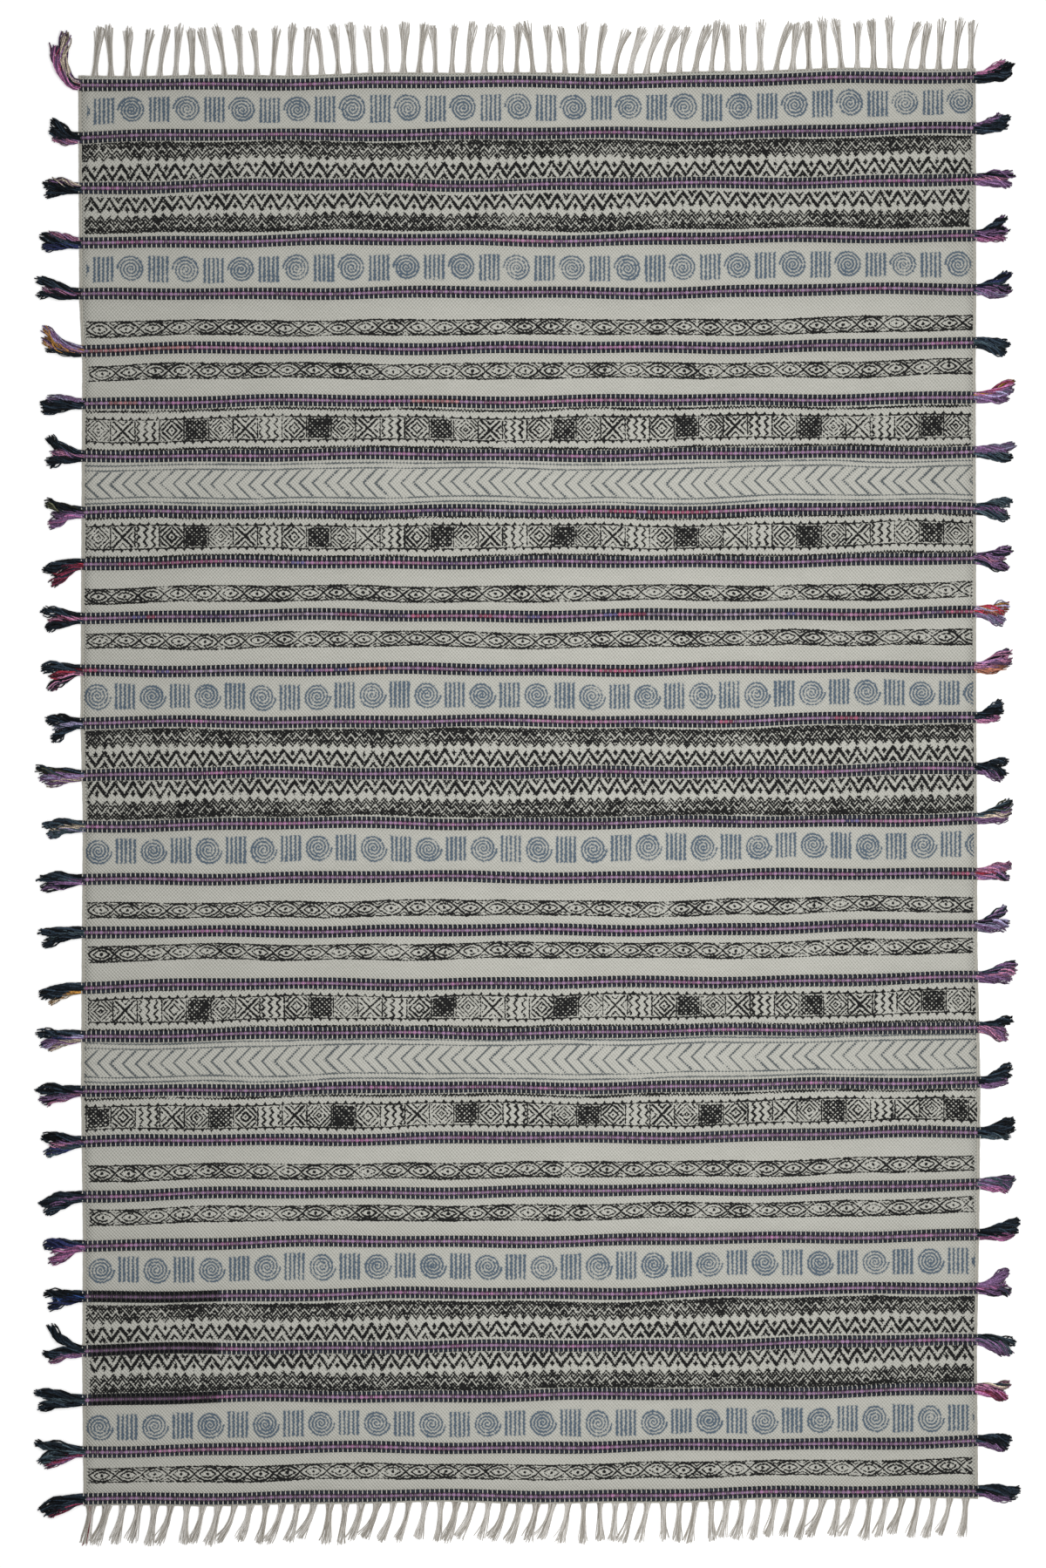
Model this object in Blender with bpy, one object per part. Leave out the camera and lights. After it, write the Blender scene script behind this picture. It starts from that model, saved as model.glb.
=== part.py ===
"""Flat-woven cotton rug with raised weft bands, a tassel at each band's ends and two fringed ends.

Metres, +Z up. The origin lies on the floor under the middle of the cloth. +X runs across the rug,
+Y along the warp towards the head end, where the fringe is longer.
"""

import math
from collections import namedtuple

import bmesh
import bpy
import numpy as np
from mathutils import Vector

MM = 0.001

# The cloth: a 5 by 8 foot dhurrie. Its bands of thick weft stand proud of the thin ground weave.
CLOTH_WIDTH = 1524 * MM
HEAD_MARGIN = 14 * MM
FOOT_MARGIN = 10.5 * MM
GROUND_THICKNESS = 3 * MM
BAND_THICKNESS = 6 * MM
BAND_CREST = 7.5 * MM  # from a band's middle to the edge of its level top
BAND_FOOT = 10 * MM  # from a band's middle to where it meets the ground weave
CLOTH_COLUMNS = 16
PIECE_GAP = 0.3 * MM

# A tassel's lean and splay are in degrees, counted from straight out towards +Y, and its reach is in
# millimetres. Accent says where the lock of thin yarn lies: 1 above the two thick locks, 0 between them,
# -1 below.
Tassel = namedtuple("Tassel", "lean splay reach accent")

# One row for each band, from the head end down. Gap is the distance in millimetres to the next band.
Band = namedtuple("Band", "gap left right")
BANDS = [
    Band(87.5, Tassel(74, 14, 104, 0), Tassel(22, 16, 70, 1)),
    Band(86.5, Tassel(28, 26, 56, -1), Tassel(22, 14, 62, 1)),
    Band(94.0, Tassel(4, 22, 62, 1), Tassel(1, 12, 65, 0)),
    Band(90.0, Tassel(6, 22, 68, 1), Tassel(24, 28, 62, -1)),
    Band(94.0, Tassel(14, 24, 78, 0), Tassel(17, 26, 65, -1)),
    Band(90.5, Tassel(26, 22, 76, -1), Tassel(-16, 14, 60, 0)),
    Band(91.5, Tassel(-2, 12, 74, 1), Tassel(18, 14, 70, -1)),
    Band(96.0, Tassel(13, 44, 66, 0), Tassel(-1, 12, 67, 0)),
    Band(87.0, Tassel(-4, 36, 64, 0), Tassel(-3, 28, 63, 0)),
    Band(90.5, Tassel(-30, 30, 68, 0), Tassel(-5, 32, 62, 0)),
    Band(92.0, Tassel(-1, 28, 68, 0), Tassel(-9, 30, 57, 0)),
    Band(88.0, Tassel(-18, 42, 68, 0), Tassel(25, 20, 68, -1)),
    Band(87.5, Tassel(-14, 40, 60, 0), Tassel(30, 20, 52, -1)),
    Band(86.0, Tassel(0, 14, 78, -1), Tassel(1, 30, 56, -1)),
    Band(91.5, Tassel(-5, 14, 68, 0), Tassel(24, 16, 66, -1)),
    Band(90.5, Tassel(-8, 16, 77, 0), Tassel(10, 20, 60, 0)),
    Band(90.0, Tassel(-11, 8, 74, 0), Tassel(24, 32, 60, -1)),
    Band(84.0, Tassel(-17, 10, 75, -1), Tassel(15, 20, 70, -1)),
    Band(93.5, Tassel(-9, 22, 76, -1), Tassel(-9, 36, 57, 0)),
    Band(86.0, Tassel(-10, 20, 78, -1), Tassel(25, 22, 59, -1)),
    Band(91.0, Tassel(-8, 30, 69, 0), Tassel(15, 18, 63, -1)),
    Band(84.0, Tassel(-22, 8, 76, 0), Tassel(2, 16, 60, -1)),
    Band(89.0, Tassel(-17, 32, 68, 0), Tassel(16, 16, 73, -1)),
    Band(90.5, Tassel(-9, 22, 66, 0), Tassel(14, 44, 60, 0)),
    Band(83.5, Tassel(18, 54, 72, -1), Tassel(-20, 24, 68, -1)),
    Band(88.0, Tassel(2, 24, 81, 0), Tassel(-6, 24, 57, 0)),
    Band(82.5, Tassel(-2, 26, 84, -1), Tassel(-6, 18, 58, -1)),
    Band(0.0, Tassel(-24, 12, 80, -1), Tassel(-5, 12, 72, -1)),
]
CLOTH_LENGTH = HEAD_MARGIN + sum(band.gap for band in BANDS) * MM + FOOT_MARGIN

# How far each selvedge strays outwards from the nominal width, in millimetres, down the rug's length.
Stray = namedtuple("Stray", "share left right")
SELVEDGES = [
    Stray(0.00, 5, -2),
    Stray(0.16, 3, -1),
    Stray(0.20, -2, -2),
    Stray(0.45, 1, -1),
    Stray(0.52, -3, 0),
    Stray(0.62, -1, 1),
    Stray(0.71, 0, 6),
    Stray(0.81, -3, 4),
    Stray(0.90, -2, 0),
    Stray(1.00, -4, 2),
]

# The weft rows don't lie quite square: they rise towards +X and wander a little along their length.
ROW_TILT = 12 * MM  # rise from selvedge to selvedge
TILT_SWING = 5 * MM  # how much that rise varies down the rug
TILT_PERIOD = 2.44
STEEPEST_ROW = -0.82
Wander = namedtuple("Wander", "height across along")  # a wave's height, and its length in X and in Y
WANDERS = [Wander(1.6 * MM, 0.62, 0.35), Wander(1.0 * MM, 0.27, -0.21)]
ARCH_RISE = 1.4 * MM  # every row also arches a little, highest left of the middle
ARCH_LENGTH = 1.2
ARCH_TOP = -0.43

# A side tassel: the ends of one band's three thick wefts, drawn together and left hanging out of the
# selvedge.
HEAD_REACH = 11 * MM
LOCK_ROOT = 4.6 * MM
LOCK_SPACE = 0.9 * MM
HEAD_HEIGHT = 6 * MM
LOCK_MIDDLE = (6.2 * MM, 6.5 * MM)  # width and height half-way along
LOCK_TIP_HEIGHT = 4.5 * MM
TIP_WIDENING = 0.5 * MM  # a tip is this much wider for each degree to the next lock
WIDEST_TIP = 14 * MM
LEAST_SPREAD = 8  # degrees between neighbouring locks on a straight tassel
BENT_SPREAD = 7  # degrees more on a tassel that lies along the selvedge
ACCENT_SPREAD = 12
ACCENT_SHARE = 0.82  # the thin yarn is cut shorter
SECOND_SHARE = 0.93
INNER_TURN = 0.75  # a lock's inner half has turned this share of its angle, and its outer half more
OUTER_TURN = 1.15

# The fringe: warp ends gathered in bundles, which widen towards their loose tips. A list gives, from the
# left, how far each bundle's tip lies to the right of its root in millimetres, one number for each bundle.
HEAD_TIPS = [
    10, -6, 3, 14, 14, 7, -2, -14, -16, -7, -7, 6, 6, 5, -11, -9, -8, -7, -6, 4, 11, -5, 6, 8, 14,
    1, 3, -13, -2, -10, 4, 12, 26, 26, 28, 28, 17, 27, 12, -4, -2, 3, 27, 12, -2, -5, -11, 1, -4,
    -2, 24, 11, 7, 11, 3,
]
FOOT_TIPS = [
    -12, -26, -18, -17, -12, -26, -5, -20, -20, -32, -22, -13, -28, -20, -32, -9, -10, -24, -30,
    -24, -22, -14, -7, -20, -30, -18, -26, -25, -18, -28, -16, -3, 0, -6, -21, -18, 1, -4, -14, 1,
    -14, -14, -13, -16, -16, -16, -30, -12, -26, -12, -20, -24, -15, -16, -21, -7,
]
Fringe = namedtuple("Fringe", "name end length left_inset right_inset tips")
FRINGES = [
    Fringe("warp_fringe_head", 1, 82 * MM, 28 * MM, 8.5 * MM, HEAD_TIPS),
    Fringe("warp_fringe_foot", -1, 66 * MM, 13 * MM, 21 * MM, FOOT_TIPS),
]
LENGTH_SWING = 0.05  # a share of the bundle's length
LENGTH_RATE = 1.7  # radians from a bundle to the next
STRIP_DEPTH = 5 * MM
BUNDLE_ROOT = 5 * MM
BUNDLE_MIDDLE = (6.5 * MM, 4 * MM)
BUNDLE_TIP = (9.5 * MM, 3 * MM)
BUNDLE_BEND = 0.45  # where a bundle bends, as a share of its length
BUNDLE_INNER_TURN = 0.6
BUNDLE_OUTER_TURN = 1.3


def rug_material(name, colour, roughness):
    material = bpy.data.materials.new(name)
    material.use_nodes = True
    shader = material.node_tree.nodes["Principled BSDF"]
    shader.inputs["Base Color"].default_value = (*colour, 1)
    shader.inputs["Roughness"].default_value = roughness
    return material


def selvedge(side, y):
    """Where the cloth ends on one side, side -1 or 1, at a height y along the rug."""
    share = 0.5 - y / CLOTH_LENGTH
    strays = [stray.left if side < 0 else stray.right for stray in SELVEDGES]
    stray = np.interp(share, [row.share for row in SELVEDGES], strays)
    return side * (CLOTH_WIDTH / 2 + stray * MM)


def row_drift(x, y):
    """How far the weft row that belongs at y has strayed from it, at x."""
    tilt = ROW_TILT + TILT_SWING * math.cos(math.tau * (y - STEEPEST_ROW) / TILT_PERIOD)
    arch = ARCH_RISE * math.cos(math.tau * (x - ARCH_TOP) / ARCH_LENGTH)
    drift = tilt * x / CLOTH_WIDTH + arch
    for wave in WANDERS:
        drift += wave.height * math.sin(math.tau * (x / wave.across + y / wave.along))
    return drift


def on_cloth(share, y):
    """The plan position of the point at a share of the width, from left to right, on the row at y."""
    x = selvedge(-1, y) * (1 - share) + selvedge(1, y) * share
    return x, y + row_drift(x, y)


def band_middles():
    """The nominal y of each band, from the head end down."""
    y = CLOTH_LENGTH / 2 - HEAD_MARGIN
    middles = []
    for band in BANDS:
        middles.append(y)
        y -= band.gap * MM
    return middles


def cloth_rows():
    """The y and the thickness of each row of points, from the head end down."""
    rows = [(CLOTH_LENGTH / 2, GROUND_THICKNESS)]
    for middle in band_middles():
        rows.append((middle + BAND_FOOT, GROUND_THICKNESS))
        rows.append((middle + BAND_CREST, BAND_THICKNESS))
        rows.append((middle - BAND_CREST, BAND_THICKNESS))
        rows.append((middle - BAND_FOOT, GROUND_THICKNESS))
    rows.append((-CLOTH_LENGTH / 2, GROUND_THICKNESS))
    return rows


def finished(name, bm, material, collection, parent):
    """The mesh as an object of the rug, with its faces pointing out."""
    bmesh.ops.recalc_face_normals(bm, faces=bm.faces)
    mesh = bpy.data.meshes.new(name)
    bm.to_mesh(mesh)
    bm.free()
    mesh.materials.append(material)
    piece = bpy.data.objects.new(name, mesh)
    collection.objects.link(piece)
    piece.parent = parent
    return piece


def cloth_mesh():
    """The woven cloth: one grid whose points rise at the bands, closed by a skirt and a level underside."""
    rows = cloth_rows()
    last_row = len(rows) - 1
    bm = bmesh.new()
    bmesh.ops.create_grid(bm, x_segments=CLOTH_COLUMNS, y_segments=last_row, size=0.5)
    for vert in bm.verts:
        share = round((vert.co.x + 0.5) * CLOTH_COLUMNS) / CLOTH_COLUMNS
        y, thickness = rows[round((0.5 - vert.co.y) * last_row)]
        vert.co = Vector((*on_cloth(share, y), thickness))
    rim = [edge for edge in bm.edges if edge.is_boundary]
    skirt = bmesh.ops.extrude_edge_only(bm, edges=rim)["geom"]
    for vert in (item for item in skirt if isinstance(item, bmesh.types.BMVert)):
        vert.co.z = 0
    bmesh.ops.holes_fill(bm, edges=[edge for edge in bm.edges if edge.is_boundary], sides=0)
    return bm


def strand_sections(start, legs, turn):
    """The two corners in plan and the height at the end of each leg: (length, direction, (width, height)).

    turn is 1 where the second corner lies to the left of the direction, and -1 where it lies to the right."""
    sections = []
    point = start
    for length, direction, (width, height) in legs:
        point = point + direction * length
        half = Vector((-direction.y, direction.x)) * turn * width / 2
        sections.append((point - half, point + half, height))
    return sections


def toothed_strip(cells, height, place, teeth):
    """A level strip of cells, with a four-sided strand grown from the outer face of each cell that teeth names.

    place gives the plan position of a column of points, on the strip's inner or outer edge, and teeth
    maps a cell's number to its strand's sections."""
    bm = bmesh.new()
    column = bm.verts.layers.int.new("column")
    outer = bm.verts.layers.int.new("outer")
    bmesh.ops.create_grid(bm, x_segments=cells, y_segments=1, size=0.5)
    for vert in bm.verts:
        vert[column] = round((vert.co.x + 0.5) * cells)
        vert[outer] = int(vert.co.y > 0)
        vert.co = Vector((*place(vert[column], vert[outer]), height))
    under = bmesh.ops.extrude_face_region(bm, geom=list(bm.faces), use_keep_orig=True)["geom"]
    for vert in (item for item in under if isinstance(item, bmesh.types.BMVert)):
        vert.co.z = 0
    outer_faces = [face for face in bm.faces if all(vert[outer] for vert in face.verts)]
    for face in outer_faces:
        cell = min(vert[column] for vert in face.verts)
        for left, right, top in teeth.get(cell, []):
            face = bmesh.ops.extrude_discrete_faces(bm, faces=[face])["faces"][0]
            for vert in face.verts:
                corner = left if vert[column] == cell else right
                vert.co = Vector((*corner, top if vert.co.z > 0 else 0))
    return bm


def tassel_locks(tassel):
    """Each of a tassel's three locks, from the lowest up: its angle, share of the reach and tip width."""
    least = LEAST_SPREAD + BENT_SPREAD * (1 - math.cos(math.radians(tassel.lean)))
    if tassel.accent == 0:
        spread = max(tassel.splay / 2, least)
        angles = [tassel.lean - spread, tassel.lean, tassel.lean + spread]
        shares = [SECOND_SHARE, ACCENT_SHARE, 1]
    else:
        spread = max(tassel.splay, least)
        accent = tassel.lean + tassel.accent * (spread / 2 + ACCENT_SPREAD)
        thick = [tassel.lean - spread / 2, tassel.lean + spread / 2]
        angles = thick + [accent] if tassel.accent > 0 else [accent] + thick
        shares = [SECOND_SHARE, 1, ACCENT_SHARE] if tassel.accent > 0 else [ACCENT_SHARE, SECOND_SHARE, 1]
    nearest = min(upper - lower for lower, upper in zip(angles, angles[1:]))
    tip_width = min(LOCK_ROOT + LOCK_SPACE + nearest * TIP_WIDENING, WIDEST_TIP)
    return [(angle, share, tip_width) for angle, share in zip(angles, shares)]


def tassel_mesh(side, y, tassel):
    """A tassel: a short head against the selvedge, and two thick locks and a thin one that fan out of it."""
    stations = [0]
    for step in (LOCK_ROOT, LOCK_SPACE, LOCK_ROOT, LOCK_SPACE, LOCK_ROOT):
        stations.append(stations[-1] + step)
    middle = stations[-1] / 2
    edge_x = side * max(abs(selvedge(side, y + rise)) for rise in (-BAND_FOOT, 0, BAND_FOOT))
    edge_y = y + row_drift(edge_x, y)
    inner_x = edge_x + side * PIECE_GAP
    outer_x = inner_x + side * HEAD_REACH

    def place(column, outer):
        return (outer_x if outer else inner_x, edge_y + stations[column] - middle)

    def heading(degrees):
        angle = math.radians(degrees)
        return Vector((side * math.cos(angle), math.sin(angle)))

    reach = tassel.reach * MM
    inner_length = (reach - HEAD_REACH) / 2
    teeth = {}
    for number, (angle, share, tip_width) in enumerate(tassel_locks(tassel)):
        cell = 2 * number
        root = Vector((outer_x, edge_y + (stations[cell] + stations[cell + 1]) / 2 - middle))
        outer_length = inner_length - reach * (1 - share)
        legs = [
            (inner_length, heading(angle * INNER_TURN), LOCK_MIDDLE),
            (outer_length, heading(angle * OUTER_TURN), (tip_width, LOCK_TIP_HEIGHT)),
        ]
        teeth[cell] = strand_sections(root, legs, side)
    return toothed_strip(len(stations) - 1, HEAD_HEIGHT, place, teeth)


def fringe_mesh(fringe):
    """A fringed end: a narrow strip of cloth, parted from the rest, with its bundles of warp fused to it."""
    edge_y = fringe.end * CLOTH_LENGTH / 2
    edge = [on_cloth(number / CLOTH_COLUMNS, edge_y) for number in range(CLOTH_COLUMNS + 1)]
    edge_xs = [x for x, _ in edge]
    edge_ys = [y for _, y in edge]
    first = edge_xs[0] + fringe.left_inset
    pitch = (edge_xs[-1] - fringe.right_inset - first) / (len(fringe.tips) - 1)
    stations = [edge_xs[0]]
    for number in range(len(fringe.tips)):
        middle = first + number * pitch
        stations += [middle - BUNDLE_ROOT / 2, middle + BUNDLE_ROOT / 2]
    stations.append(edge_xs[-1])

    def place(column, outer):
        x = stations[column]
        reach = PIECE_GAP + (STRIP_DEPTH if outer else 0)
        return x, np.interp(x, edge_xs, edge_ys) + fringe.end * reach

    def heading(degrees):
        angle = math.radians(degrees)
        return Vector((math.sin(angle), fringe.end * math.cos(angle)))

    teeth = {}
    for number, tip in enumerate(fringe.tips):
        x = first + number * pitch
        root = Vector((x, np.interp(x, edge_xs, edge_ys) + fringe.end * (PIECE_GAP + STRIP_DEPTH)))
        length = fringe.length * (1 + LENGTH_SWING * math.sin(LENGTH_RATE * number))
        lean = math.degrees(math.atan2(tip * MM, fringe.length))
        legs = [
            (length * BUNDLE_BEND, heading(lean * BUNDLE_INNER_TURN), BUNDLE_MIDDLE),
            (length * (1 - BUNDLE_BEND), heading(lean * BUNDLE_OUTER_TURN), BUNDLE_TIP),
        ]
        teeth[2 * number + 1] = strand_sections(root, legs, -fringe.end)
    return toothed_strip(len(stations) - 1, GROUND_THICKNESS, place, teeth)


def main():
    for old in list(bpy.data.objects):
        bpy.data.objects.remove(old)
    collection = bpy.data.collections.new("handwoven_rug")
    bpy.context.scene.collection.children.link(collection)
    rug = bpy.data.objects.new("rug_middle", None)
    collection.objects.link(rug)

    ground = rug_material("greige_cotton", (0.53, 0.52, 0.47), 0.95)
    warp = rug_material("natural_warp_cotton", (0.50, 0.48, 0.43), 0.95)
    yarn = rug_material("charcoal_weft_yarn", (0.03, 0.04, 0.05), 0.95)

    finished("ground_cloth", cloth_mesh(), ground, collection, rug)
    for fringe in FRINGES:
        finished(fringe.name, fringe_mesh(fringe), warp, collection, rug)
    for number, (y, band) in enumerate(zip(band_middles(), BANDS), start=1):
        left = tassel_mesh(-1, y, band.left)
        right = tassel_mesh(1, y, band.right)
        finished(f"tassel_left_{number:02d}", left, yarn, collection, rug)
        finished(f"tassel_right_{number:02d}", right, yarn, collection, rug)


main()
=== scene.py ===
"""The looks of a hand-woven, block-printed cotton rug, laid flat and seen from straight above.

The sections follow the rug as it is made: the woven cloth and its prints, the thick weft bands, the
selvedges and twined ends, the loose fringes and the tassels at the bands' ends. The camera, floor and lights
come last."""

import math
from collections import namedtuple

import bmesh
import bpy
import numpy as np
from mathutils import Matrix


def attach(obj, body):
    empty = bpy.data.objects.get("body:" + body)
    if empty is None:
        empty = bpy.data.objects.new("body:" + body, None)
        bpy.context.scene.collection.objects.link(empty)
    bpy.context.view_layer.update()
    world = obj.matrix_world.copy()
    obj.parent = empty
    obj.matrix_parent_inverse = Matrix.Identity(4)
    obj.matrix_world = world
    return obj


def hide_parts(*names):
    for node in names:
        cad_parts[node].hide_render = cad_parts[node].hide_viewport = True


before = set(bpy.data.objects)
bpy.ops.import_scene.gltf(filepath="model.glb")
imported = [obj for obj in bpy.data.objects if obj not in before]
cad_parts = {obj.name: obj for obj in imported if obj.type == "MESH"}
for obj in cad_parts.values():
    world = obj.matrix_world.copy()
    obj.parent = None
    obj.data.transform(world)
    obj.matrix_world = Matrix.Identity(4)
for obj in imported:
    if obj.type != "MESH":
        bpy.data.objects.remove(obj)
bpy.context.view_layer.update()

# The woven cloth
# A dhurrie ground of unbleached cotton, 3 mm thick, in a fine twill. It is woven on a hand loom, so its
# weft rows rise a little towards +X and wander, and its selvedges stray. It is one flat sheet.

MM = 0.001
CLOTH_WIDTH = 1524 * MM
HEAD_MARGIN = 14 * MM
FOOT_MARGIN = 10.5 * MM
BAND_FOOT = 10 * MM  # from a band's middle to where it meets the ground weave
GROUND_TOP = 3.0 * MM
SEAT_TOP = 2.4 * MM  # the cloth under the thick wefts of a band
PIECE_GAP = 0.3 * MM

# A strip is the ground between two bands: its height, the print on it, whether the printing block was
# turned half round, and how far the print lies above the strip's middle. Start is where the block's zero
# lies and left and right are where the print ends, from the middle of the cloth, and repeat is how long one
# repeat came out. Sizes are in millimetres.
Strip = namedtuple("Strip", "gap motif turned shift start repeat left right")
EDGE = 775  # a print that runs on over the selvedge
STRIPS = [
    Strip(87.5, "spiral", False, 0, -746.9, 94.05, -752, EDGE),
    Strip(86.5, "zigzag", True, 0, -739.6, 30.5, -761, 752),
    Strip(94.0, "zigzag", False, 0, -744.8, 30.5, -755.5, 748.5),
    Strip(90.0, "spiral", False, -3, -748.1, 93.9, -753, EDGE),
    Strip(94.0, "eye", False, -12, -731, 45.2, -753.5, 755),
    Strip(90.5, "eye", False, 6, -726, 45.0, -748.5, 755),
    Strip(91.5, "square", False, -1, -754, 208.5, -754, 751.5),
    Strip(96.0, "chevron", False, 0, -755.5, 21.5, -757, 761),
    Strip(87.0, "square", False, 0, -754, 208.5, -754, 759),
    Strip(90.5, "eye", False, -8, -733, 45.05, -755.5, 754),
    Strip(92.0, "eye", False, 5, -731, 45.0, -753.5, 754),
    Strip(88.0, "spiral", True, 0, 738.0, 93.5, -EDGE, EDGE),
    Strip(87.5, "zigzag", True, 0, -738.0, 30.5, -754, 761),
    Strip(86.0, "zigzag", False, 0, -734.9, 30.5, -751, 761),
    Strip(91.5, "spiral", True, 3, 741.2, 93.6, -EDGE, EDGE),
    Strip(90.5, "eye", False, -8, -729, 44.95, -751.5, 755),
    Strip(90.0, "eye", False, 9.5, -728, 45.0, -750.5, 755),
    Strip(84.0, "square", False, 1.5, -750, 208.5, -750, EDGE),
    Strip(93.5, "chevron", False, 1.5, -755.5, 21.5, -757, 761),
    Strip(86.0, "square", True, -3, 706, 208.5, -EDGE, EDGE),
    Strip(91.0, "eye", False, -9, -727, 45.25, -749.5, 757),
    Strip(84.0, "eye", False, 6.5, -725, 45.2, -747.5, 757),
    Strip(89.0, "spiral", True, 2, 753.4, 94.1, -EDGE, 758),
    Strip(90.5, "zigzag", True, 0, -741.0, 30.5, -753, 761),
    Strip(83.5, "zigzag", False, 0, -723.0, 30.5, -747, 762),
    Strip(88.0, "spiral", True, -3, 754.0, 94.3, -EDGE, 759),
    Strip(82.5, "eye", False, 0, -727, 45.0, -749.5, 754),
]
BANDS = len(STRIPS) + 1
CLOTH_LENGTH = HEAD_MARGIN + sum(strip.gap for strip in STRIPS) * MM + FOOT_MARGIN

# How far each selvedge strays outwards from the nominal width, in millimetres, down the rug's length.
Stray = namedtuple("Stray", "share left right")
SELVEDGES = [
    Stray(0.00, 5, -2),
    Stray(0.16, 3, -1),
    Stray(0.20, -2, -2),
    Stray(0.45, 1, -1),
    Stray(0.52, -3, 0),
    Stray(0.62, -1, 1),
    Stray(0.71, 0, 6),
    Stray(0.81, -3, 4),
    Stray(0.90, -2, 0),
    Stray(1.00, -4, 2),
]
ROW_TILT = 12 * MM
TILT_SWING = 5 * MM
TILT_PERIOD = 2.44
STEEPEST_ROW = -0.82
Wander = namedtuple("Wander", "height across along")
WANDERS = [Wander(1.6 * MM, 0.62, 0.35), Wander(1.0 * MM, 0.27, -0.21)]
ARCH_RISE = 1.4 * MM
ARCH_LENGTH = 1.2
ARCH_TOP = -0.43


def selvedge(side, y):
    """Where the cloth ends on one side, side -1 or 1, at a height y along the rug."""
    strays = [stray.left if side < 0 else stray.right for stray in SELVEDGES]
    stray = np.interp(0.5 - y / CLOTH_LENGTH, [row.share for row in SELVEDGES], strays)
    return side * (CLOTH_WIDTH / 2 + stray * MM)


def row_drift(x, y):
    """How far the weft row that belongs at y has strayed from it, at x."""
    tilt = ROW_TILT + TILT_SWING * np.cos(math.tau * (y - STEEPEST_ROW) / TILT_PERIOD)
    drift = tilt * x / CLOTH_WIDTH + ARCH_RISE * np.cos(math.tau * (x - ARCH_TOP) / ARCH_LENGTH)
    for wave in WANDERS:
        drift = drift + wave.height * np.sin(math.tau * (x / wave.across + y / wave.along))
    return drift


def on_cloth(share, y):
    """The plan position of the point at a share of the width, from left to right, on the row at y."""
    x = selvedge(-1, y) * (1 - share) + selvedge(1, y) * share
    return x, y + row_drift(x, y)


def band_middles():
    """The nominal y of each band, from the head end down."""
    y = CLOTH_LENGTH / 2 - HEAD_MARGIN
    middles = [y]
    for strip in STRIPS:
        y -= strip.gap * MM
        middles.append(y)
    return middles


def hex_colour(code):
    """An sRGB hex code as a linear colour with alpha."""
    channels = [int(code[i:i + 2], 16) / 255 for i in (1, 3, 5)]
    return (*[c / 12.92 if c <= 0.04045 else ((c + 0.055) / 1.055) ** 2.4 for c in channels], 1)


class Field:
    """A number that varies over a surface, worked out by math nodes. As a distance that is negative inside a
    shape, | joins two shapes and & keeps what lies in both."""

    def __init__(self, tree, socket):
        self.tree, self.socket = tree, socket

    def node(self, operation, *values, **settings):
        made = add_node(self.tree, "ShaderNodeMath", self, *values, operation=operation, **settings)
        return Field(self.tree, made)

    def fold(self, length):
        """To and fro between 0 and a length."""
        return self.node("PINGPONG", length)

    def __abs__(self):
        return self.node("ABSOLUTE")

    def __add__(self, other):
        return self.node("ADD", other)

    def __sub__(self, other):
        return self.node("SUBTRACT", other)

    def __rsub__(self, other):
        return self.node("MULTIPLY_ADD", -1.0, other)

    def __mul__(self, other):
        return self.node("MULTIPLY", other)

    def __mod__(self, other):
        return self.node("FLOORED_MODULO", other)

    def __or__(self, other):
        return self.node("MINIMUM", other)

    def __and__(self, other):
        return self.node("MAXIMUM", other)


def add_node(tree, kind, *values, output=0, named=None, **settings):
    """Adds a node with its settings, sets or links its inputs, and gives back one of its outputs."""
    made = tree.nodes.new(kind)
    for key, value in settings.items():
        setattr(made, key, value)
    for key, value in [*enumerate(values), *(named or {}).items()]:
        if isinstance(value, Field):
            value = value.socket
        if isinstance(value, bpy.types.NodeSocket):
            tree.links.new(value, made.inputs[key])
        elif value is not None:
            made.inputs[key].default_value = value
    return made.outputs[output]


def split(tree, vector):
    """The x, y and z of a vector."""
    parts = add_node(tree, "ShaderNodeSeparateXYZ", vector).node.outputs
    return [Field(tree, part) for part in parts]


def noise(tree, place, scale, detail):
    """Soft random patches over a place, from 0 to 1."""
    return Field(tree, add_node(tree, "ShaderNodeTexNoise", place, named={"Scale": scale, "Detail": detail}))


def blend(tree, share, colour, other):
    """One colour, and the other by a share."""
    return add_node(tree, "ShaderNodeMix", share, data_type="RGBA", output=2, named={6: colour, 7: other})


def new_material(name):
    """An empty node material, and the tree to fill."""
    material = bpy.data.materials.new(name)
    material.use_nodes = True
    material.node_tree.nodes.clear()
    return material, material.node_tree


def finish_cotton(tree, colour, relief, strength, depth, **looks):
    """Dry, matt cotton of a colour, with a relief of some depth, as the tree's output."""
    bump = add_node(tree, "ShaderNodeBump", named={"Strength": strength, "Distance": depth, "Height": relief})
    cotton = add_node(tree, "ShaderNodeBsdfPrincipled",
                      named={"Base Color": colour, "Roughness": 0.95, "Specular IOR Level": 0.12,
                             "Normal": bump, **looks})
    tree.links.new(cotton, tree.nodes.new("ShaderNodeOutputMaterial").inputs[0])


# The printing blocks. Each is carved wood, pressed by hand, and each function draws one repeat from x and y
# in millimetres. It gives the distance to the nearest stroke's edge, which is negative on the ink. A value
# named flat turns a height above a slanted stroke into a distance.
SPIRAL_REPEAT = 93.9
COMB_AT, SPIRAL_AT = 23.4, 70.35
COMB_PITCH, TOOTH_HALF = 7.5, 1.75
COMB_HALF_WIDTH, COMB_HALF_HEIGHT = 16.9, 21.3
COIL_PITCH, COIL_HALF = 5.5, 1.2
COIL_START, COIL_REACH = 3.4, 21.3
TICK_AT, TICK_HALF_WIDTH, TICK_HALF_HEIGHT = -2.1, 1.3, 4.6


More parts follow.
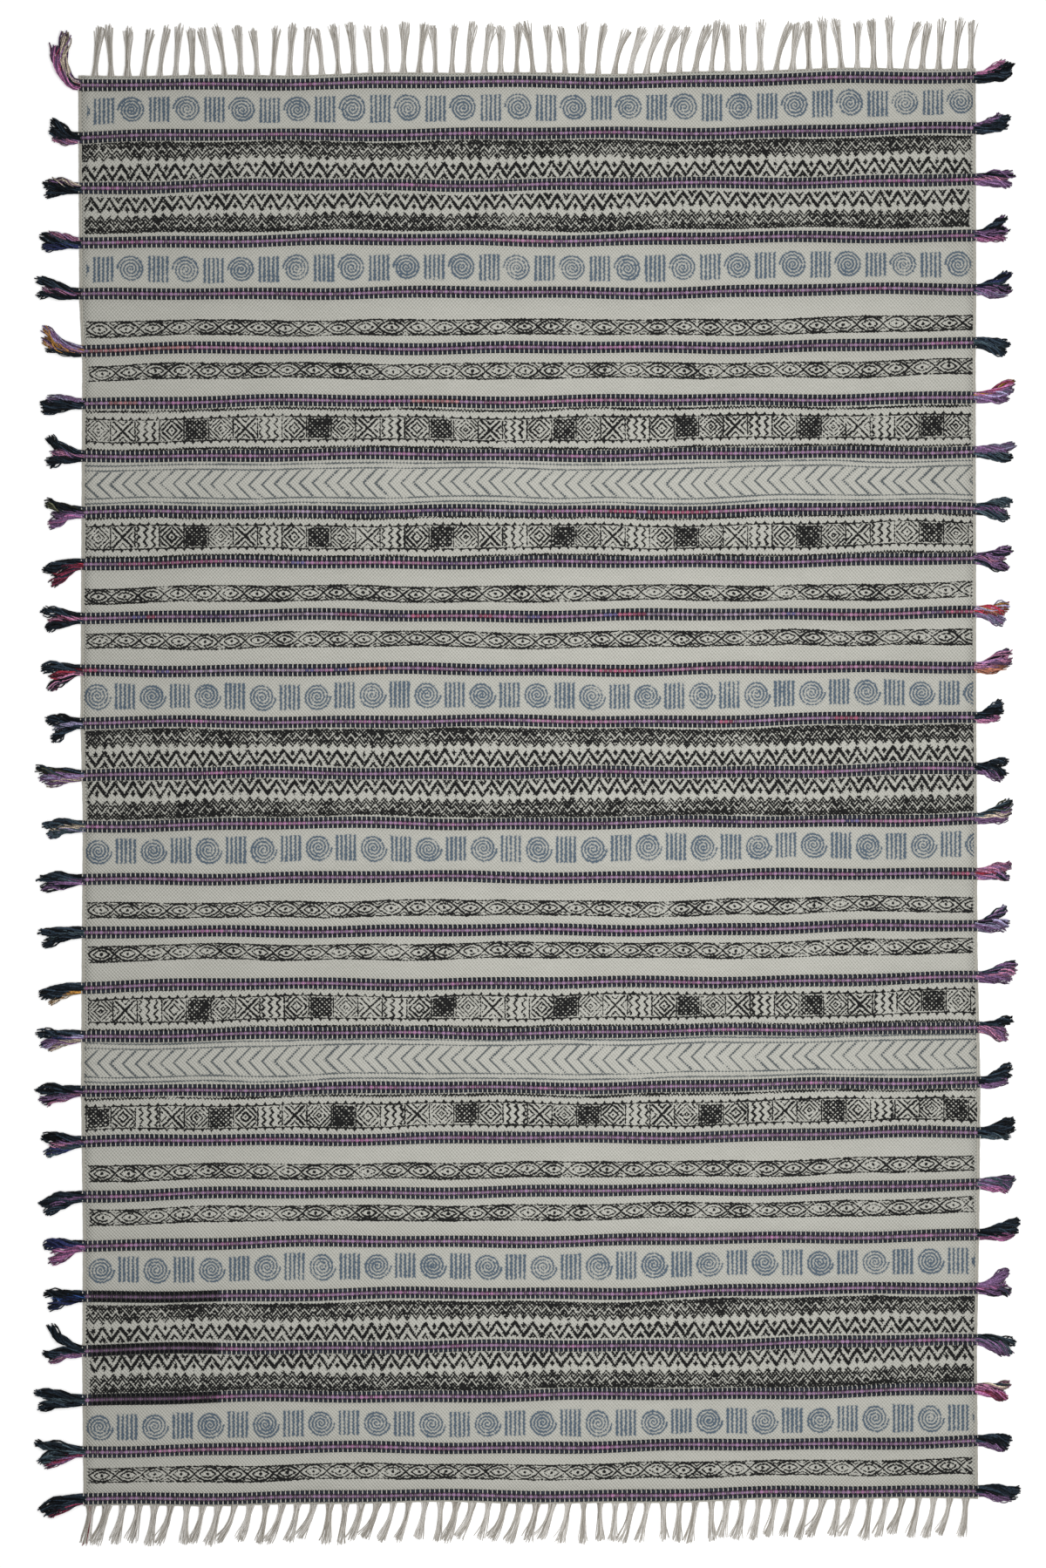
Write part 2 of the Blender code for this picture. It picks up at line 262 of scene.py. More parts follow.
def spiral_block(x, y):
    """A comb of five upright teeth, then a wound spiral, with one short tick before the first comb."""
    along = x % SPIRAL_REPEAT
    height = abs(y)
    off_comb = abs(along - COMB_AT)
    teeth = off_comb.fold(COMB_PITCH / 2) - TOOTH_HALF
    comb = teeth & (off_comb - COMB_HALF_WIDTH) & (height - COMB_HALF_HEIGHT)
    spiral_x = along - SPIRAL_AT
    radius = (spiral_x * spiral_x + y * y).node("SQRT")
    angle = y.node("ARCTAN2", spiral_x)
    wound = angle * (-COIL_PITCH / math.tau) + radius
    coil = (wound - COIL_START).fold(COIL_PITCH / 2) - COIL_HALF
    spiral = coil & (wound - COIL_REACH)
    tick = (abs(x - TICK_AT) - TICK_HALF_WIDTH) & (height - TICK_HALF_HEIGHT)
    return comb | spiral | tick


ZIGZAG_HALF = 15.25  # from a peak to the next trough
ZIGZAG_PEAK, ZIGZAG_RISE, ZIGZAG_FLAT = 29.0, 1.52, 0.55
TALL_STROKE, TALL_FOOT = 2.4, 4.4
HOOK_BOTTOM, HOOK_STROKE = 24.0, 2.0
DIAMOND_AT, DIAMOND_SLOPE, DIAMOND_HALF_HEIGHT, DIAMOND_FLAT = 11.5, 1.43, 5.6, 0.6
RIPPLE_AT, RIPPLE_HALF, RIPPLE_RISE, RIPPLE_FLAT, RIPPLE_TOP = -1.2, 2.3, 1.27, 0.62, -0.2
FILL_TOP, FILL_FOOT = -5.2, -31.0
WHITE_RIPPLE_AT, WHITE_RIPPLE_HALF = -12.75, 2.1
WORN_TOP, WORN = -16.0, -0.8  # below this line the ink only catches on the weave's knuckles
BLOCK_TOP = 31.5


def zigzag_block(x, y):
    """A tall zigzag with hooks and diamonds in its notches, over a ripple and a worn dark ground."""
    wave = x.fold(ZIGZAG_HALF)
    slanted = wave * ZIGZAG_RISE + y
    tall = (abs(slanted - ZIGZAG_PEAK) * ZIGZAG_FLAT - TALL_STROKE) & (TALL_FOOT - y)
    hook_peak = HOOK_BOTTOM + ZIGZAG_HALF * ZIGZAG_RISE
    hook = abs(slanted - hook_peak) * ZIGZAG_FLAT - HOOK_STROKE
    diamond = (wave * DIAMOND_SLOPE + abs(y - DIAMOND_AT) - DIAMOND_HALF_HEIGHT) * DIAMOND_FLAT
    rippled = x.fold(ZIGZAG_HALF / 2) * RIPPLE_RISE + y
    ripple = ((abs(rippled - RIPPLE_AT) - RIPPLE_HALF) * RIPPLE_FLAT) & (y - RIPPLE_TOP)
    white = (WHITE_RIPPLE_HALF - abs(rippled - WHITE_RIPPLE_AT)) * RIPPLE_FLAT
    worn = (WORN_TOP - rippled) | WORN
    fill = (rippled - FILL_TOP) & white & worn
    return (tall | hook | diamond | ripple | fill) & (y - BLOCK_TOP) & (FILL_FOOT - y)


EYE_HALF = 22.55  # from an eye's middle to the crossing beside it
EYE_BORDER, BORDER_HALF = 12.4, 0.9
EYE_LID, LID_STROKE, EYE_FLAT = 11.4, 1.3, 0.8
EYE_RING, EYE_RING_REACH, RING_STROKE = 6.4, 13.5, 0.85
PUPIL = 2.3
LASH_FOOT, LASH_SLOPE, LASH_STROKE, LASH_FLAT = 6.6, 0.55, 0.6, 0.88


def eye_block(x, y):
    """A chain of pointed ovals that cross, each with a ring and a dot, between two lines."""
    across = x.fold(EYE_HALF)
    height = abs(y)
    squared = across * across
    border = abs(height - EYE_BORDER) - BORDER_HALF
    lid_curve = squared * (EYE_LID / EYE_HALF ** 2) + height
    lid = abs(lid_curve - EYE_LID) * EYE_FLAT - LID_STROKE
    ring_curve = squared * (EYE_RING / EYE_RING_REACH ** 2) + height
    ring = (abs(ring_curve - EYE_RING) * EYE_FLAT - RING_STROKE) & (across - (EYE_RING_REACH + 1))
    pupil = (squared + height * height).node("SQRT") - PUPIL
    lash_line = across * LASH_SLOPE + height
    lash = abs(lash_line - (LASH_FOOT + LASH_SLOPE * EYE_HALF)) * LASH_FLAT - LASH_STROKE
    return (border | lid | ring | pupil | lash) & (height - (EYE_BORDER + BORDER_HALF + 0.05))


SQUARE_PITCH, SQUARE_HALF_HEIGHT, SQUARE_MARGIN = 41.7, 16.7, 2.4
DIVIDER_HALF = 1.1
SQUARE_BORDER, SQUARE_BORDER_HALF = 19.0, 1.0
SLANT_FLAT, STEEP_FLAT = 0.72, 0.75
NEST_STEP, NEST_STROKE = 4.4, 1.35
THIN_NEST_STEP, THIN_NEST_STROKE = 3.6, 0.85
CROSS_STROKE, HATCH_STEP, HATCH_STROKE = 1.8, 4.9, 0.95
WAVE_HEIGHT, WAVE_SLOPE, WAVE_STEP, WAVE_STROKE = 6.5, 0.9, 6.8, 1.35
CHECK_STEP, CHECK_STROKE = 4.1, 1.9
TOOTH_TIP, TOOTH_STEP, TOOTH_SLOPE = 24.4, 7.6, 1.3
EDGE_RIPPLE, EDGE_RIPPLE_STEP, EDGE_RIPPLE_SLOPE, EDGE_RIPPLE_STROKE = 34.1, 2.8, 0.9, 1.1
FAR = 100.0


def square_block(x, y):
    """Five squares in turn, with thin nested diamonds, a hatched cross, waves, bold diamonds and a dense
    check."""
    height = abs(y)
    cell_x = x % SQUARE_PITCH - SQUARE_PITCH / 2
    off_x = abs(cell_x)
    reach = off_x + height
    thin_nest = (reach + THIN_NEST_STEP).fold(THIN_NEST_STEP) * SLANT_FLAT - THIN_NEST_STROKE
    slant = off_x - height
    cross = abs(slant) * SLANT_FLAT - CROSS_STROKE
    hatch = slant.fold(HATCH_STEP) * SLANT_FLAT - HATCH_STROKE
    swayed = y.fold(WAVE_HEIGHT) * WAVE_SLOPE + cell_x
    waves = swayed.fold(WAVE_STEP) * STEEP_FLAT - WAVE_STROKE
    nest = reach.fold(NEST_STEP) * SLANT_FLAT - NEST_STROKE
    check = abs(x.fold(CHECK_STEP) - y.fold(CHECK_STEP)) * STEEP_FLAT - CHECK_STROKE
    motifs = (thin_nest, cross | hatch, waves, nest, check)
    turn = (x * (1 / SQUARE_PITCH)).node("FLOOR") % len(motifs)
    past_cell = height - SQUARE_HALF_HEIGHT
    drawn = (SQUARE_PITCH / 2 - DIVIDER_HALF - off_x) & past_cell
    in_square = past_cell & (off_x - (SQUARE_PITCH / 2 - SQUARE_MARGIN))
    for number, motif in enumerate(motifs):
        elsewhere = FAR - turn.node("COMPARE", number, 0.5) * FAR
        drawn = drawn | ((motif + elsewhere) & in_square)
    border = abs(height - SQUARE_BORDER) - SQUARE_BORDER_HALF
    tooth = (x.fold(TOOTH_STEP) * TOOTH_SLOPE + height - TOOTH_TIP) & (SQUARE_BORDER - height)
    rippled = x.fold(EDGE_RIPPLE_STEP) * EDGE_RIPPLE_SLOPE + height
    ripple = abs(rippled - EDGE_RIPPLE) * STEEP_FLAT - EDGE_RIPPLE_STROKE
    return drawn | border | tooth | ripple


CHEVRON_PITCH, CHEVRON_HALF_HEIGHT = 21.5, 22.3
CHEVRON_STROKE, CHEVRON_FLAT = 1.0, 0.71
CHEVRON_LINES, LINE_HALF = (24.6, 33.2), 0.75


def chevron_block(x, y):
    """Thin chevrons that point to the left, between two pairs of lines."""
    height = abs(y)
    arm = (x - height).fold(CHEVRON_PITCH / 2) * CHEVRON_FLAT - CHEVRON_STROKE
    drawn = arm & (height - CHEVRON_HALF_HEIGHT)
    for line_at in CHEVRON_LINES:
        drawn = drawn | (abs(height - line_at) - LINE_HALF)
    return drawn


# Millimetres between the twill's knuckles across and along the cloth. They lie in staggered rows, and one
# stands for about two of the real ones, so that they show.
KNUCKLE_ACROSS, KNUCKLE_ALONG = 5.8, 6.2
GREIGE = "#C6C5BD"
# GREIGE_SHADE is the darker end of the ground's colour. The ground reaches it both in the painted shade of
# the twill's hollows and where its yarn is really darker, and the bands' warps take it too.
GREIGE_SHADE = "#A5A59C"
BLACK_INK = "#0B0B0E"
SLATE_INK = "#42576B"
THIN_INK = "#33404A"
INK_EDGE = 0.25  # half the width over which ink fades out
LOAD = 3.2  # how far the ink's uneven load shifts an edge
SLIP = 7.0  # how far a block strays up and down the rug

# An ink's cover is its share over the cotton, speckle how unevenly it lies, catch how far the weave's
# knuckles shift a stroke's edge in millimetres, and haze the faint stain that the block's wood leaves beside
# a stroke.
Ink = namedtuple("Ink", "colour cover speckle catch haze")
BOLD = Ink(BLACK_INK, 0.98, 6.0, 0.8, 0.0)
FINE = Ink(BLACK_INK, 0.98, 5.0, 0.4, 0.0)
SLATE = Ink(SLATE_INK, 0.9, 4.5, 0.6, 0.10)
THIN = Ink(THIN_INK, 0.85, 2.6, 0.7, 0.03)


def greige_cotton(name, block=None, ink=None):
    """Unbleached hand-spun cotton in a fine twill: dry, matt and slightly uneven in shade. Its colour is
    painted darker in the twill's hollows and lighter on its knuckles, as shade and light would fall on them.
    A printed block's ink catches on the weave's high points, so a stroke is dotted and its edges are knobbly."""
    material, t = new_material(name)
    weave = add_node(t, "ShaderNodeUVMap", uv_map="weave")
    across, along, _ = split(t, weave)
    slant = along * (KNUCKLE_ACROSS / KNUCKLE_ALONG)
    turn = math.tau / KNUCKLE_ACROSS
    rib = ((across + slant) * turn).node("SINE")
    thread = ((across - slant) * turn).node("SINE")
    knob = thread * 0.75 + rib
    grain = noise(t, weave, 0.33, 5.0)
    slub_way = add_node(t, "ShaderNodeMapping", weave, named={"Scale": (0.03, 0.6, 1.0)})
    slub = noise(t, slub_way, 1.0, 3.0)
    patch = noise(t, weave, 0.012, 3.0)
    # The shade mixes painted shade and light from the twill's relief (knob: darker in its hollows, lighter on
    # its knuckles) with the yarn's own uneven tone (grain, slub and patch).
    shade = knob * 0.40 + grain * 0.9 + slub * 0.7 + patch * 0.5 - 0.45
    colour = blend(t, shade, hex_colour(GREIGE_SHADE), hex_colour(GREIGE))
    if block:
        ends = add_node(t, "ShaderNodeUVMap", uv_map="reach")
        lowest, highest, _ = split(t, ends)
        place = add_node(t, "ShaderNodeUVMap", uv_map="print")
        place_x, place_y, _ = split(t, place)
        slip = noise(t, weave, 0.006, 1.0) * SLIP - SLIP / 2
        stroke = block(place_x, place_y + slip)
        edge = stroke & (lowest - place_x) & (place_x - highest)
        load = noise(t, weave, 0.02, 3.0)
        speck_way = add_node(t, "ShaderNodeMapping", weave, named={"Scale": (0.17, 0.24, 1.0)})
        speck = noise(t, speck_way, 1.0, 2.0)
        loaded = edge - knob * ink.catch - speck * ink.speckle - load * LOAD
        middle = INK_EDGE - ink.speckle / 2 - LOAD / 2
        solid = add_node(t, "ShaderNodeMapRange", loaded, interpolation_type="SMOOTHSTEP",
                         named={"From Min": middle - INK_EDGE, "From Max": middle + INK_EDGE,
                                "To Min": ink.cover, "To Max": 0.0})
        haze = add_node(t, "ShaderNodeMapRange", edge,
                        named={"From Min": 0.5, "From Max": 3.5, "To Min": ink.haze, "To Max": 0.0})
        wet = Field(t, solid).node("MAXIMUM", haze)
        colour = blend(t, wet, colour, hex_colour(ink.colour))
    finish_cotton(t, colour, grain * 1.2 + knob, 0.8, 0.5 * MM, **{"Sheen Weight": 0.06})
    return material


FLOATS = 186  # of thick weft across the rug
PITCH = CLOTH_WIDTH / FLOATS
CHARCOAL = "#1D2028"
PURPLE = "#7E6380"
NATURAL = "#D2CFC6"
PURPLE_ROW_HALF = 3.1


def band_cotton():
    """The thick wefts as they show from behind and between the floats: two charcoal rows with a purple one
    between them, and natural warps across."""
    material, t = new_material("thick_weft_band_cotton")
    place = add_node(t, "ShaderNodeUVMap", uv_map="print")
    x, y, _ = split(t, place)
    row = blend(t, abs(y).node("LESS_THAN", PURPLE_ROW_HALF), hex_colour(CHARCOAL), hex_colour(PURPLE))
    to_warp = x.fold(PITCH / MM / 2)
    crossed = blend(t, to_warp.node("LESS_THAN", 0.8), row, hex_colour(GREIGE_SHADE))
    fibre = noise(t, place, 0.9, 3.0)
    shade = add_node(t, "ShaderNodeMapRange", fibre,
                     named={"From Min": 0.3, "From Max": 0.7, "To Min": 0.6, "To Max": 1.15})
    lit = add_node(t, "ShaderNodeVectorMath", crossed, shade, operation="MULTIPLY")
    finish_cotton(t, lit, to_warp * 0.3 + fibre, 0.6, 0.6 * MM)
    return material


plain_cotton = greige_cotton("plain_greige_cotton")
band_weave = band_cotton()
# Each print's cloth, with how long one repeat of its block is.
Print = namedtuple("Print", "cotton repeat")
PRINTS = {
    "spiral": Print(greige_cotton("spiral_printed_cotton", spiral_block, SLATE), SPIRAL_REPEAT),
    "zigzag": Print(greige_cotton("zigzag_printed_cotton", zigzag_block, BOLD), 2 * ZIGZAG_HALF),
    "eye": Print(greige_cotton("eye_printed_cotton", eye_block, FINE), 2 * EYE_HALF),
    "square": Print(greige_cotton("square_printed_cotton", square_block, FINE), 5 * SQUARE_PITCH),
    "chevron": Print(greige_cotton("chevron_printed_cotton", chevron_block, THIN), CHEVRON_PITCH),
}
STRIP_ROWS = 4
CLOTH_COLUMNS = 72
SEAT_SHARE = 0.85  # of a band's half width that is sunk for its thick wefts
RIM_SHARE = 0.75  # of the cloth's height at its side edges

# The cloth's rows of points, from the head end down: y, height, and the number of the strip or of the band
# that the row begins, or -1.
Row = namedtuple("Row", "y top strip band")


def cloth_rows():
    """Every row of points in the cloth."""
    middles = band_middles()
    rows = [Row(CLOTH_LENGTH / 2, GROUND_TOP, -1, -1)]
    for number, middle in enumerate(middles):
        rows.append(Row(middle + BAND_FOOT, GROUND_TOP, -1, number))
        rows.append(Row(middle + BAND_FOOT * SEAT_SHARE, SEAT_TOP, -1, number))
        rows.append(Row(middle - BAND_FOOT * SEAT_SHARE, SEAT_TOP, -1, number))
        strip = number if number < len(STRIPS) else -1
        rows.append(Row(middle - BAND_FOOT, GROUND_TOP, strip, -1))
        if strip >= 0:
            top, foot = middle - BAND_FOOT, middles[number + 1] + BAND_FOOT
            for step in range(1, STRIP_ROWS):
                rows.append(Row(top + (foot - top) * step / STRIP_ROWS, GROUND_TOP, strip, -1))
    rows.append(Row(-CLOTH_LENGTH / 2, GROUND_TOP, -1, -1))
    return rows


def cloth_mesh():
    """The cloth as one closed grid with three maps in millimetres: where each point lies in the weave, where
    it lies in its strip's print or its band, and between which places the print lies."""
    rows = cloth_rows()
    middles = band_middles()
    last = len(rows) - 1
    bm = bmesh.new()
    bmesh.ops.create_grid(bm, x_segments=CLOTH_COLUMNS, y_segments=last, size=0.5)
    column = bm.verts.layers.int.new("column")
    line = bm.verts.layers.int.new("line")
    for vert in bm.verts:
        vert[column] = round((vert.co.x + 0.5) * CLOTH_COLUMNS)
        vert[line] = round((0.5 - vert.co.y) * last)
        row = rows[vert[line]]
        x, y = on_cloth(vert[column] / CLOTH_COLUMNS, row.y)
        rim = vert[column] in (0, CLOTH_COLUMNS)
        vert.co = (x, y, row.top * (RIM_SHARE if rim else 1))
    under = bmesh.ops.extrude_face_region(bm, geom=list(bm.faces), use_keep_orig=True)["geom"]
    for item in under:
        if isinstance(item, bmesh.types.BMVert):
            item.co.z = 0
    weave, printed, reach = [bm.loops.layers.uv.new(name) for name in ("weave", "print", "reach")]
    names = list(PRINTS)
    for face in bm.faces:
        lines = {vert[line] for vert in face.verts}
        row = rows[min(lines)] if len(lines) > 1 else Row(0, 0, -1, -1)
        upper = all(vert.co.z > 0 for vert in face.verts)
        spec = STRIPS[row.strip] if row.strip >= 0 and upper else None
        if spec:
            face.material_index = 2 + names.index(spec.motif)
            middle = (middles[row.strip] + middles[row.strip + 1]) / 2 + spec.shift * MM
            scale = PRINTS[spec.motif].repeat / spec.repeat * (-1 if spec.turned else 1)
        elif row.band >= 0:
            face.material_index = 1
            middle = middles[row.band]
        for loop in face.loops:
            y = rows[loop.vert[line]].y
            x = on_cloth(loop.vert[column] / CLOTH_COLUMNS, y)[0]
            loop[weave].uv = (x / MM, y / MM)
            if spec:
                height = (y - middle) / MM
                loop[printed].uv = ((x / MM - spec.start) * scale, -height if spec.turned else height)
                loop[reach].uv = sorted((end - spec.start) * scale for end in (spec.left, spec.right))
            elif row.band >= 0:
                loop[printed].uv = (x / MM, (y - middle) / MM)
        face.smooth = True
    bmesh.ops.recalc_face_normals(bm, faces=bm.faces)
    mesh = bpy.data.meshes.new("woven_cloth")
    bm.to_mesh(mesh)
    bm.free()
    for material in [plain_cotton, band_weave, *[block.cotton for block in PRINTS.values()]]:
        mesh.materials.append(material)
    return mesh


cloth = bpy.data.objects.new("woven_cloth", cloth_mesh())
bpy.context.scene.collection.objects.link(cloth)
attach(cloth, "root")
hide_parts("ground_cloth")

# The thick weft bands
# Each band is three thick, soft wefts between the ground's twill: two of charcoal wool-like cotton with a
# thinner one of mixed purple rags between them. The warp crosses them in pairs, one over and one under.

ROW_OFFSET = 6.5 * MM  # from the band's middle row to each charcoal row

# A weft's floats start this many steps in from the selvedge. Low and high are its heights under a warp and in
# mid-float, and thin and thick its radius there. Crest, reach and warp are the height, half-length and radius
# of the warps' arcs over it. The two tones multiply its dye: painted light that makes each float lighter in
# its middle, and painted shade that makes it darker under each warp.
Weft = namedtuple("Weft", "name offset start low high thin thick crest reach warp crest_tone pinch_tone")
WEFTS = [
    Weft("upper_charcoal_wefts", ROW_OFFSET, 0.0, 2.6 * MM, 3.3 * MM, 2.1 * MM, 3.1 * MM, 9.4 * MM, 3.3 * MM,
         1.1 * MM, 2.0, 0.35),
    Weft("purple_wefts", 0.0, 0.5, 3.0 * MM, 3.3 * MM, 2.7 * MM, 3.8 * MM, 9.4 * MM, 2.2 * MM,
         0.8 * MM, 1.15, 0.06),
    Weft("lower_charcoal_wefts", -ROW_OFFSET, 0.0, 2.6 * MM, 3.3 * MM, 2.1 * MM, 3.1 * MM, 9.4 * MM, 3.3 * MM,
         1.1 * MM, 2.0, 0.35),
]

# Where the middle weft changes colour, read along the bands: band number from the head end, and shares of
# the width from left to right.
Stretch = namedtuple("Stretch", "band start end dye")
DYES = {
    "pink": "#9A6088",
    "red": "#9C3444",
    "maroon": "#7A3148",
    "navy": "#252A4C",
    "blue": "#2F4A80",
    "orange": "#A8705C",
    "grey": "#8E8795",
    "rose": "#A06C88",
}
STRETCHES = [
    Stretch(3, 0.90, 0.93, "pink"),
    Stretch(3, 0.97, 1.00, "pink"),
    Stretch(4, 0.04, 0.07, "pink"),
    Stretch(4, 0.46, 0.53, "rose"),
    Stretch(6, 0.01, 0.12, "orange"),
    Stretch(6, 0.12, 0.21, "rose"),
    Stretch(6, 0.58, 0.62, "pink"),
    Stretch(7, 0.03, 0.06, "orange"),
    Stretch(7, 0.37, 0.42, "orange"),
    Stretch(7, 0.45, 0.60, "rose"),
    Stretch(9, 0.13, 0.27, "grey"),
    Stretch(9, 0.27, 0.34, "navy"),
    Stretch(9, 0.38, 0.415, "navy"),
    Stretch(9, 0.45, 0.50, "grey"),
    Stretch(9, 0.55, 0.59, "rose"),
    Stretch(9, 0.59, 0.62, "red"),
    Stretch(9, 0.63, 0.70, "red"),
    Stretch(9, 0.70, 0.77, "rose"),
    Stretch(10, 0.04, 0.16, "maroon"),
    Stretch(10, 0.235, 0.25, "blue"),
    Stretch(10, 0.29, 0.39, "rose"),
    Stretch(10, 0.40, 0.42, "navy"),
    Stretch(10, 0.465, 0.485, "navy"),
    Stretch(11, 0.055, 0.07, "blue"),
    Stretch(11, 0.07, 0.085, "red"),
    Stretch(11, 0.13, 0.165, "navy"),
    Stretch(11, 0.17, 0.28, "grey"),
    Stretch(11, 0.29, 0.31, "maroon"),
    Stretch(11, 0.34, 0.365, "navy"),
    Stretch(11, 0.37, 0.39, "red"),
    Stretch(11, 0.39, 0.44, "rose"),
    Stretch(11, 0.445, 0.46, "red"),
    Stretch(11, 0.50, 0.515, "blue"),
    Stretch(11, 0.585, 0.60, "blue"),
    Stretch(11, 0.60, 0.63, "red"),
    Stretch(11, 0.63, 0.78, "grey"),
    Stretch(11, 0.785, 0.80, "blue"),
    Stretch(11, 0.84, 0.94, "rose"),
    Stretch(11, 0.95, 0.965, "navy"),
    Stretch(11, 0.965, 1.00, "red"),
    Stretch(12, 0.00, 0.02, "red"),
    Stretch(12, 0.085, 0.10, "blue"),
    Stretch(12, 0.12, 0.25, "grey"),
    Stretch(12, 0.25, 0.26, "blue"),
    Stretch(12, 0.28, 0.30, "blue"),
    Stretch(12, 0.30, 0.34, "orange"),
    Stretch(12, 0.445, 0.46, "blue"),
    Stretch(12, 0.505, 0.52, "navy"),
    Stretch(12, 0.53, 0.58, "rose"),
    Stretch(12, 0.58, 0.62, "red"),
    Stretch(12, 0.65, 0.75, "rose"),
    Stretch(12, 0.75, 0.80, "maroon"),
    Stretch(12, 0.80, 0.95, "rose"),
    Stretch(13, 0.50, 0.60, "rose"),
    Stretch(13, 0.71, 0.73, "red"),
    Stretch(13, 0.84, 0.87, "red"),
    Stretch(13, 0.95, 0.98, "navy"),
    Stretch(14, 0.15, 0.19, "pink"),
    Stretch(15, 0.20, 0.25, "pink"),
    Stretch(15, 0.70, 0.735, "navy"),
    Stretch(15, 0.85, 0.87, "blue"),
    Stretch(15, 0.88, 0.96, "rose"),
    Stretch(16, 0.97, 0.99, "red"),
    Stretch(17, 0.14, 0.16, "pink"),
    Stretch(18, 0.66, 0.69, "pink"),
    Stretch(19, 0.71, 0.73, "pink"),
    Stretch(20, 0.32, 0.35, "pink"),
    Stretch(21, 0.42, 0.44, "pink"),
    Stretch(26, 0.20, 0.22, "pink"),
    Stretch(26, 0.31, 0.34, "pink"),
    Stretch(27, 0.08, 0.24, "rose"),
]
# A stray block print covers the left end of three bands.
INKED_BANDS = (24, 25, 26)
INKED_START, INKED_END = 0.010, 0.152
PURPLE_INKED, CHARCOAL_INKED = 0.45, 0.9
FLECKS, FLECK_REACH = 4, 0.010  # pink flecks in each band's purple weft


def wire_mesh(name, paths, **properties):
    """Lines of points for yarn to follow. Each property is a list with one array for each path, of numbers
    or of colours."""
    points = np.concatenate(paths)
    edges = []
    first = 0
    for path in paths:
        edges += [(i, i + 1) for i in range(first, first + len(path) - 1)]
        first += len(path)
    mesh = bpy.data.meshes.new(name)
    mesh.from_pydata(points.tolist(), edges, [])
    for key, values in properties.items():
        values = np.concatenate(values)
        if values.ndim > 1:
            mesh.attributes.new(key, "FLOAT_COLOR", "POINT").data.foreach_set("color", values.ravel())
        else:
            mesh.attributes.new(key, "FLOAT", "POINT").data.foreach_set("value", values)
    return mesh


def grown(name, wires, tree, material, **sizes):
    """The plain mesh that a geometry node tree grows from wires, as an object."""
    source = bpy.data.objects.new(name + "_wires", wires)
    bpy.context.scene.collection.objects.link(source)
    modifier = source.modifiers.new("growth", "NODES")
    modifier.node_group = tree
    given = {"Material": material, **sizes}
    for item in tree.interface.items_tree:
        if item.name in given:
            modifier[item.identifier] = given[item.name]
    graph = bpy.context.evaluated_depsgraph_get()
    mesh = bpy.data.meshes.new_from_object(source.evaluated_get(graph), preserve_all_data_layers=True,
                                           depsgraph=graph)
    bpy.data.objects.remove(source)
    mesh.name = name
    piece = bpy.data.objects.new(name, mesh)
    bpy.context.scene.collection.objects.link(piece)
    return piece


def new_tree(name, **inputs):
    """A geometry node tree with a mesh in and out, and named inputs of the socket types given."""
    tree = bpy.data.node_groups.new(name, "GeometryNodeTree")
    tree.interface.new_socket("Geometry", in_out="INPUT", socket_type="NodeSocketGeometry")
    tree.interface.new_socket("Geometry", in_out="OUTPUT", socket_type="NodeSocketGeometry")
    for key, kind in inputs.items():
        tree.interface.new_socket(key, in_out="INPUT", socket_type="NodeSocket" + kind)
    return tree, tree.nodes.new("NodeGroupInput").outputs


def finish_tree(tree, geometry, material):
    """Real, separate mesh of one material as the tree's output."""
    real = add_node(tree, "GeometryNodeRealizeInstances", geometry)
    dressed = add_node(tree, "GeometryNodeSetMaterial", real, None, material)
    tree.links.new(dressed, tree.nodes.new("NodeGroupOutput").inputs[0])
    return tree


CLEAR = 0.1 * MM  # how far the thick wefts stay above the floor
PUFF = 0.667  # above a half, a float keeps its full width for part of its length


def weft_tree():
    """Thick yarn that is pinched thin and low wherever a warp crosses over it."""
    t, given = new_tree("thick_weft", Floats="Int", Low="Float", High="Float", Thin="Float", Thick="Float",
                        Sides="Int", Seed="Float", Material="Material")
    curve = add_node(t, "GeometryNodeMeshToCurve", given["Geometry"])
    floats = Field(t, given["Floats"])
    even = add_node(t, "GeometryNodeResampleCurve", curve, None, floats * 3.0 + 1.0)
    share = Field(t, add_node(t, "GeometryNodeSplineParameter"))
    pinch = (share * floats * math.tau).node("COSINE")
    puff = pinch.node("MULTIPLY_ADD", -PUFF, PUFF, use_clamp=True)
    lumps = add_node(t, "ShaderNodeTexNoise", add_node(t, "GeometryNodeInputPosition"), given["Seed"],
                     noise_dimensions="4D", named={"Scale": 60.0, "Detail": 2.0})
    width = add_node(t, "ShaderNodeMapRange", puff, named={"To Min": given["Thin"], "To Max": given["Thick"]})
    fat = Field(t, width) * (Field(t, lumps) * 0.5 + 0.75)
    rise = add_node(t, "ShaderNodeMapRange", puff, named={"To Min": given["Low"], "To Max": given["High"]})
    height = (fat + CLEAR).node("MAXIMUM", rise)
    lift = add_node(t, "ShaderNodeCombineXYZ", 0.0, 0.0, height)
    lifted = add_node(t, "GeometryNodeSetPosition", even, None, None, lift)
    round_yarn = add_node(t, "GeometryNodeCurvePrimitiveCircle", given["Sides"], named={"Radius": 1.0})
    yarn = add_node(t, "GeometryNodeCurveToMesh", lifted, round_yarn, named={"Scale": fat, "Fill Caps": True})
    x, y, z = split(t, add_node(t, "GeometryNodeInputPosition"))
    laid = add_node(t, "ShaderNodeCombineXYZ", x, y, z.node("MAXIMUM", CLEAR))
    flattened = add_node(t, "GeometryNodeSetPosition", yarn, None, laid)
    smooth = add_node(t, "GeometryNodeSetShadeSmooth", flattened)
    return finish_tree(t, smooth, given["Material"])


WARP_FOOT = 2.6 * MM


